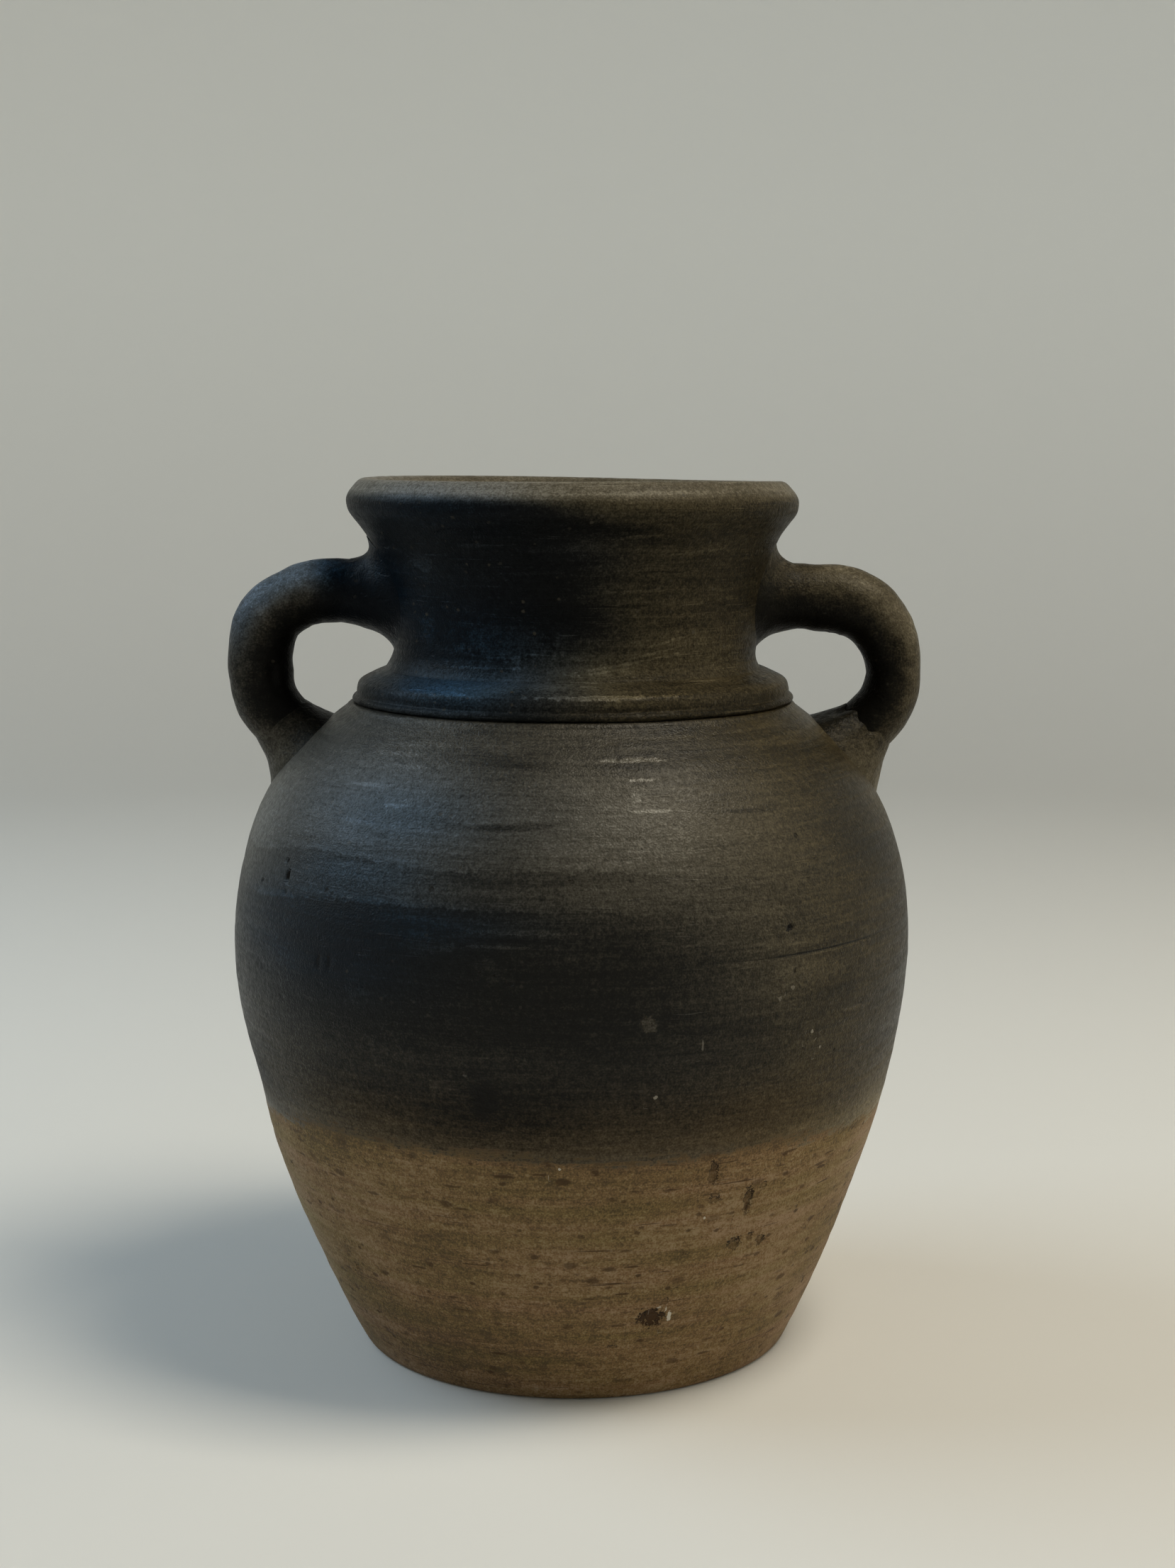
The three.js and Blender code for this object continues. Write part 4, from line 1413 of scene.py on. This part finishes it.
def waist_sway(sizes, surface, high):
    """How far the neck's uneven waist stands off the axis at these heights."""
    top = in_mm(sizes.seat_height + sizes.cordon_height)
    waist = in_mm(sizes.seat_height + sizes.waist_rise)
    bulge = plateau(high, top, waist + 6, waist + 14, in_mm(sizes.rim_height) - 10)
    return in_mm(surface.neck_shift) + in_mm(surface.waist_shift) * bulge


class JAR_OT_throw_neck(JarOperator, bpy.types.Operator):
    """Throws the flaring neck with its rolled lip"""

    bl_idname = "jar.throw_neck"
    bl_label = "Throw neck"

    def execute(self, context):
        sizes, surface, finish = self.settings(context)
        line = neck_line(sizes)
        middle, half, start = lip_ring(sizes)
        seat, (collar, top) = in_mm(sizes.seat_height), line[0]
        bore = in_mm(sizes.waist_radius - sizes.neck_wall)
        waist = in_mm(sizes.seat_height + sizes.waist_rise)
        swing = np.linspace(start, math.pi, 200)
        bow = np.stack([np.cos(swing), np.sin(swing)], axis=-1)
        slack = np.where(swing < math.pi / 2, np.sin(2 * np.clip(swing, 0, None)) ** 2, 0)
        roll = middle + (half - LIP_SLACK * slack[:, None]) * bow
        rise = line[-1][1] - waist
        throat = (bore, waist + WAIST_FULLNESS * rise)
        mouth = curve(roll[-1], roll[-1] - (0, LIP_FULLNESS * rise), throat, (bore, waist))
        zones = (
            (straight((bore, seat), (collar, seat), 4)[:-1], 0),
            (straight((collar, seat), (collar, top), 5)[:-1], 1),
            (evened(line, 66), 1),
            (evened(roll, 40)[1:], 1),
            (evened(mouth, 36)[1:], 0),
            (straight((bore, waist), (bore, seat), 6)[1:-1], 0),
        )

        def relief(turn, high, place, outside):
            worked = 0.5 * in_mm(surface.lump) * uneven(place, (50, 50, 24), 71)
            worked = worked + 0.8 * ridges(turn, high, place, in_mm(surface.ridge))
            worked = worked + 0.03 * uneven(place, 2.0, 72) - 0.4 * swell(high, 235, 5)
            fingers = 0.5 * finger_spiral(turn, high, place)
            return np.where(outside > 0, worked * soft_step(high, top, top + 6), fingers)

        rings, where, outside = turned(zones, NECK_TURNS, relief)
        bearing = np.arctan2(rings[..., 1], rings[..., 0])
        tilt = -in_mm(surface.rim_tilt) * np.cos(bearing) - in_mm(surface.rim_twist) * np.sin(2 * bearing)
        rings[..., 2] += tilt * soft_step(rings[..., 2], waist, in_mm(sizes.rim_height))
        rings[..., 0] += waist_sway(sizes, surface, rings[..., 2])
        placed("neck", rings, neck_marks(*where), finish, "smoked_neck", outside, closed=True)
        return {"FINISHED"}


class JAR_OT_wind_cordon(JarOperator, bpy.types.Operator):
    """Winds the clay ring over the joint of neck and shoulder"""

    bl_idname = "jar.wind_cordon"
    bl_label = "Wind cordon"

    def execute(self, context):
        sizes, surface, finish = self.settings(context)
        seat, wide = in_mm(sizes.seat_height), in_mm(sizes.cordon_radius)
        inner = in_mm(sizes.waist_radius) + COLLAR_FLARE - 0.3
        top = seat + in_mm(sizes.cordon_height)
        toe, edge, wall = (wide - 1.0, seat + 0.05), (wide + 0.4, seat + 0.9), (wide - 1.3, seat + 4.4)
        base, crest = (inner, seat + 0.05), (inner, top + 0.1)
        crown = curve(wall, (wide - 2.7, seat + 7.4), crest, count=120)
        lower = joined(
            curve(toe, (wide + 0.3, seat + 0.1), edge, count=30),
            curve(edge, (wide + 0.35, seat + 1.8), (wide - 0.7, seat + 3.0), wall, count=80),
        )
        zones = (
            (straight(base, toe, 4)[:-1], 0),
            (evened(lower, 24), 1),
            (evened(crown, 34)[1:], 1),
            (straight(crest, base, 4)[1:-1], 0),
        )

        def relief(turn, high, place, outside):
            worked = 0.16 * uneven(place, (18, 18, 30), 81) + 0.05 * uneven(place, (5, 5, 2.4), 82)
            burrs = 0.35 * np.clip(uneven(place, (6, 6, 2.2), 83) - 0.62, 0, 1)
            worked = worked - 0.55 * swell(high, seat + 2.7, 0.65) + 0.5 * swell(high, seat + 5.6, 1.3)
            return np.where(outside > 0, worked + burrs * soft_step(high, top - 3, top), 0)

        rings, where, _ = turned(zones, CORDON_TURNS, relief)
        rings[..., 0] += in_mm(surface.neck_shift)
        placed("cordon", rings, neck_marks(*where), finish, "smoked_neck", closed=True)
        return {"FINISHED"}


def handle_half(sizes):
    """Half sizes of a handle's section, in the plane of its loop and across it."""
    return np.array((in_mm(sizes.handle_thickness), in_mm(sizes.handle_width))) / 2


def sided(rings, hold):
    """A handle's rings, modelled on the right, turned to their side of the jar."""
    return rings * (hold["side"], hold["side"], 1)


def handle_rings(sizes, surface, hold):
    """Rings of an uneven pulled handle along its loop, and how far inside the loop each point is."""
    loop = handle_line(sizes, hold)
    line = evened(loop, HANDLE_STEPS)
    way = headings(line)
    share = np.linspace(0, 1, HANDLE_STEPS)
    line = line - outward(way) * np.interp(share, *hold["shift"])[:, None]
    middle = upright(line)[:, None, :]
    normal = upright(outward(way))[:, None, :]
    normal = normal * np.interp(share, *hold["girth"])[:, None, None]
    turn = circle(HANDLE_SIDES)[None, :]
    half = handle_half(sizes)
    spoke = normal * np.cos(turn)[..., None] * half[0]
    spoke = spoke + np.array((0, 1, 0)) * np.sin(turn)[..., None] * half[1]
    plain = middle + spoke
    seed = 100 + hold["side"]
    lumps = in_mm(surface.handle_lump) * (uneven(plain, 17, seed) + 0.6 * uneven(plain, 7, seed + 7))
    lumps = lumps + 0.12 * uneven(plain, 3.2, seed + 9)
    run = runs(loop)[-1]
    for side, place, bearing, long, wide, deep in HANDLE_DENTS:
        if side == hold["side"]:
            far = (share[:, None] - place) * run / (long / 2)
            across = np.radians(away(np.degrees(turn), bearing)) * half.mean() / (wide / 2)
            lumps = lumps - deep * np.exp(-(far**2) - across**2)
    return middle + spoke * (1 + lumps / half.mean())[..., None], np.cos(turn) + 0 * share[:, None]


class JAR_OT_pull_handles(JarOperator, bpy.types.Operator):
    """Pulls the two loop handles"""

    bl_idname = "jar.pull_handles"
    bl_label = "Pull handles"

    def execute(self, context):
        sizes, surface, finish = self.settings(context)
        for side, hold in HANDLES.items():
            rings, inner = handle_rings(sizes, surface, hold)
            rings = sided(rings, hold)
            marks = handle_marks(rings, inner)
            placed(f"{side}_handle", rings, marks, finish, "smoked_handles", caps=(0, -1))
        return {"FINISHED"}


def on_wall(line, run, up, across, lift):
    """Points on a turned wall, from a place on its line: up the line and round the jar, lifted off it."""
    end = runs(line)[-1]
    place = np.clip(run + up, 0, end)
    point = along(line, place)
    ahead = along(line, np.clip(place + 0.3, 0, end)) - along(line, np.clip(place - 0.3, 0, None))
    point = point + outward(unit(ahead)) * lift
    return swept(point[..., 0], across / point[..., 0], point[..., 1])


def wad_end(sizes, hold, at_neck, turn, reach):
    """Middles, spokes and headings of a wad's end, which reaches along its handle from the wall."""
    loop = handle_line(sizes, hold)
    total = runs(loop)[-1]
    side = 1 if at_neck else -1
    at = BURIED + reach if at_neck else total - BURIED - reach
    way = side * unit(along(loop, at - 0.5) - along(loop, at + 0.5))
    apart = upright(outward(way))
    middle = upright(along(loop, at)) + side * apart * np.interp(at / total, *hold["shift"])[:, None]
    half = handle_half(sizes)
    girth = np.interp(at / total, *hold["girth"])
    spoke = (np.cos(turn) * half[0] * girth)[:, None] * apart
    spoke = spoke + np.sin(turn)[:, None] * np.array((0, 1, 0)) * half[1]
    return middle, spoke, upright(way)


def wad_corner(line, run, root, start, heading):
    """Where the lines from a wad's end meet the wall's slope, up it and across it from the root."""
    slope = unit(along(line, run + 0.5) - along(line, run - 0.5))
    face = upright(outward(slope))
    fall = ((root - start) @ face) / (heading @ face)
    corner = start + fall[:, None] * heading - root
    return corner @ upright(slope), corner[:, 1]


def wad_rings(sizes, hold, at_neck, outside, inside, spread, lap):
    """Rings of a wad: a trumpet of clay from the handle to the wall, feathered out at both ends.

    outside and inside of the loop each give the wad's reach along the handle, its growth along
    the wall and its fullness, from 0 in a hollow fillet to 1 in a straight one. spread is its growth
    to the front and the back, and lap the size of its end on the handle: over 1, the end stands
    proud with a ragged edge.
    """
    turn = circle(WAD_SIDES)
    lean = (1 + np.cos(turn) * (1 if at_neck else -1)) / 2
    reach, growth, fullness = (inside[k] + (outside[k] - inside[k]) * lean for k in range(3))
    torn = swept(8, turn, 0)
    proud = max(lap - 1, 0) * (1 - soft_step(lean, 0.45, 0.85))
    reach = reach + 52 * proud * uneven(torn, 3.1, 131)
    middle, spoke, heading = wad_end(sizes, hold, at_neck, turn, reach)
    start = middle + spoke * (np.minimum(lap, WAD_FEATHER) + proud)[:, None]

    loop = handle_line(sizes, hold)
    line = neck_line(sizes) if at_neck else body_line(sizes)
    root = along(loop, BURIED if at_neck else runs(loop)[-1] - BURIED)
    run = np.interp(root[1], line[:, 1], runs(line))
    up, across = wad_corner(line, run, upright(root), start, heading)
    size = np.hypot(up, across)
    further = 1 + (growth * (up / size) ** 2 + spread * (across / size) ** 2) / size
    foot = on_wall(line, run, up * further, across * further, -0.25)
    knee = on_wall(line, run, up, across, 0.3)
    knee = knee + fullness[:, None] * ((start + foot) / 2 - knee)
    deep = on_wall(line, run, up, across, -2.5)

    step = np.linspace(0, 1, WAD_STEPS)[:, None, None]
    fan = (1 - step) ** 2 * start + 2 * step * (1 - step) * knee + step**2 * foot
    lumps = 0.5 * uneven(fan, 6, 111 + hold["side"]) + 0.25 * uneven(fan, 2.6, 121 + hold["side"])
    fan = fan + 4 * step * (1 - step) * lumps[..., None] * (fan - middle) / 14
    rings = np.concatenate([fan, (foot * 0.5 + deep * 0.5)[None], deep[None], (middle + spoke * 0.8)[None]])
    return rings, 1 - 2 * lean + np.zeros((len(rings), 1))


class JAR_OT_press_wads(JarOperator, bpy.types.Operator):
    """Presses the wads of clay that lute the handles to the neck and the shoulder"""

    bl_idname = "jar.press_wads"
    bl_label = "Press wads"

    def execute(self, context):
        sizes, surface, finish = self.settings(context)
        for (side, wall), shape in WADS.items():
            hold = HANDLES[side]
            rings, inner = wad_rings(sizes, hold, wall == "neck", *shape)
            rings = sided(rings, hold)
            if wall == "neck":
                last = len(rings) - 1
                nearness = np.interp(np.arange(len(rings)), (0, last - 3, last - 1, last), (0, 1, 1, 0))
                rings[..., 0] += waist_sway(sizes, surface, rings[..., 2]) * nearness[:, None]
            # The shoulder's wads take the handles' painted light and little of their painted shade
            marks = handle_marks(rings, inner if wall == "neck" else 0.4 * inner - 0.4)
            placed(f"{side}_{wall}_wad", rings, marks, finish, "smoked_handles", closed=True)
        return {"FINISHED"}


def set_cove(stage):
    """Round floor and backdrop in one pale sweep."""
    flat = COVE_RADIUS - COVE_BEND
    line = joined(
        straight((40, 0), (flat, 0), 15),
        curve((flat, 0), (COVE_RADIUS, 0), (COVE_RADIUS, COVE_BEND), count=24),
        straight((COVE_RADIUS, COVE_BEND), (COVE_RADIUS, COVE_TOP), 7),
    )
    cove = skinned("stage_cove", swept(line[:, :1], circle(96), line[:, 1:]), caps=(0,))
    cove.data.materials.append(FloorPaint("stage_paint", stage).material)


def set_lamp(name, watts, size, tint, direction, height):
    """Soft square lamp that looks at a point on the jar's axis from a direction."""
    light = bpy.data.lights.new(name, "AREA")
    light.energy = watts
    light.size = size
    light.color = tint
    piece = bpy.data.objects.new(name, light)
    way = unit(np.array(direction))
    piece.location = np.array((0, 0, height)) + way * LAMP_DISTANCE
    flat = math.hypot(way[0], way[1])
    piece.rotation_euler = (math.atan2(flat, way[2]), 0, math.atan2(way[1], way[0]) + math.pi / 2)
    piece.visible_camera = False
    bpy.context.scene.collection.objects.link(piece)


def set_room(scene, strength):
    """Even white light from all round."""
    world = bpy.data.worlds.new("stage_room")
    world.use_nodes = True
    room = world.node_tree.nodes["Background"]
    room.inputs["Color"].default_value = (1, 1, 1, 1)
    room.inputs["Strength"].default_value = strength
    scene.world = world


def set_camera(scene, stage):
    """Camera in front of the jar, a little above its middle."""
    eye = bpy.data.cameras.new("stage_camera")
    eye.sensor_fit = "VERTICAL"
    eye.sensor_height = 36
    eye.lens = stage.lens
    camera = bpy.data.objects.new("stage_camera", eye)
    camera.location = (0, -stage.distance, stage.height)
    camera.rotation_euler = (math.pi / 2 - stage.pitch, 0, -stage.yaw)
    scene.collection.objects.link(camera)
    scene.camera = camera


class JAR_OT_set_stage(JarOperator, bpy.types.Operator):
    """Sets the pale floor and backdrop, the soft lamps and the camera"""

    bl_idname = "jar.set_stage"
    bl_label = "Set stage"

    def execute(self, context):
        scene, stage = context.scene, context.scene.jar_stage
        set_cove(stage)
        for name, setting in LAMPS.items():
            set_lamp(f"{name}_lamp", getattr(stage, f"{name}_power"), *setting)
        set_room(scene, stage.room)
        set_camera(scene, stage)
        scene.view_settings.view_transform = "Standard"
        return {"FINISHED"}


OPERATORS = (
    JAR_OT_throw_lower_body,
    JAR_OT_throw_shoulder,
    JAR_OT_throw_neck,
    JAR_OT_wind_cordon,
    JAR_OT_pull_handles,
    JAR_OT_press_wads,
    JAR_OT_set_stage,
)


class JAR_PT_pieces(bpy.types.Panel):
    """Lists the jar's pieces and settings in the sidebar"""

    bl_idname = "JAR_PT_pieces"
    bl_label = "Smoke-fired jar"
    bl_space_type = "VIEW_3D"
    bl_region_type = "UI"
    bl_category = "Jar"

    def draw(self, context):
        for operator in OPERATORS:
            self.layout.operator(operator.bl_idname)
        for group in SETTINGS:
            box = self.layout.box()
            values = getattr(context.scene, group)
            for name in values.__annotations__:
                box.prop(values, name)


SETTINGS = {
    "jar_sizes": JarSizes,
    "jar_surface": JarSurface,
    "jar_finish": JarFinish,
    "jar_stage": JarStage,
}
CLASSES = (*SETTINGS.values(), *OPERATORS, JAR_PT_pieces)


def register():
    for kind in CLASSES:
        bpy.utils.register_class(kind)
    for name, kind in SETTINGS.items():
        setattr(bpy.types.Scene, name, PointerProperty(type=kind))


def unregister():
    for name in SETTINGS:
        delattr(bpy.types.Scene, name)
    for kind in reversed(CLASSES):
        bpy.utils.unregister_class(kind)


def main():
    register()
    bpy.ops.jar.throw_lower_body()
    bpy.ops.jar.throw_shoulder()
    bpy.ops.jar.throw_neck()
    bpy.ops.jar.wind_cordon()
    bpy.ops.jar.pull_handles()
    bpy.ops.jar.press_wads()
    bpy.ops.jar.set_stage()


if __name__ == "__main__":
    main()
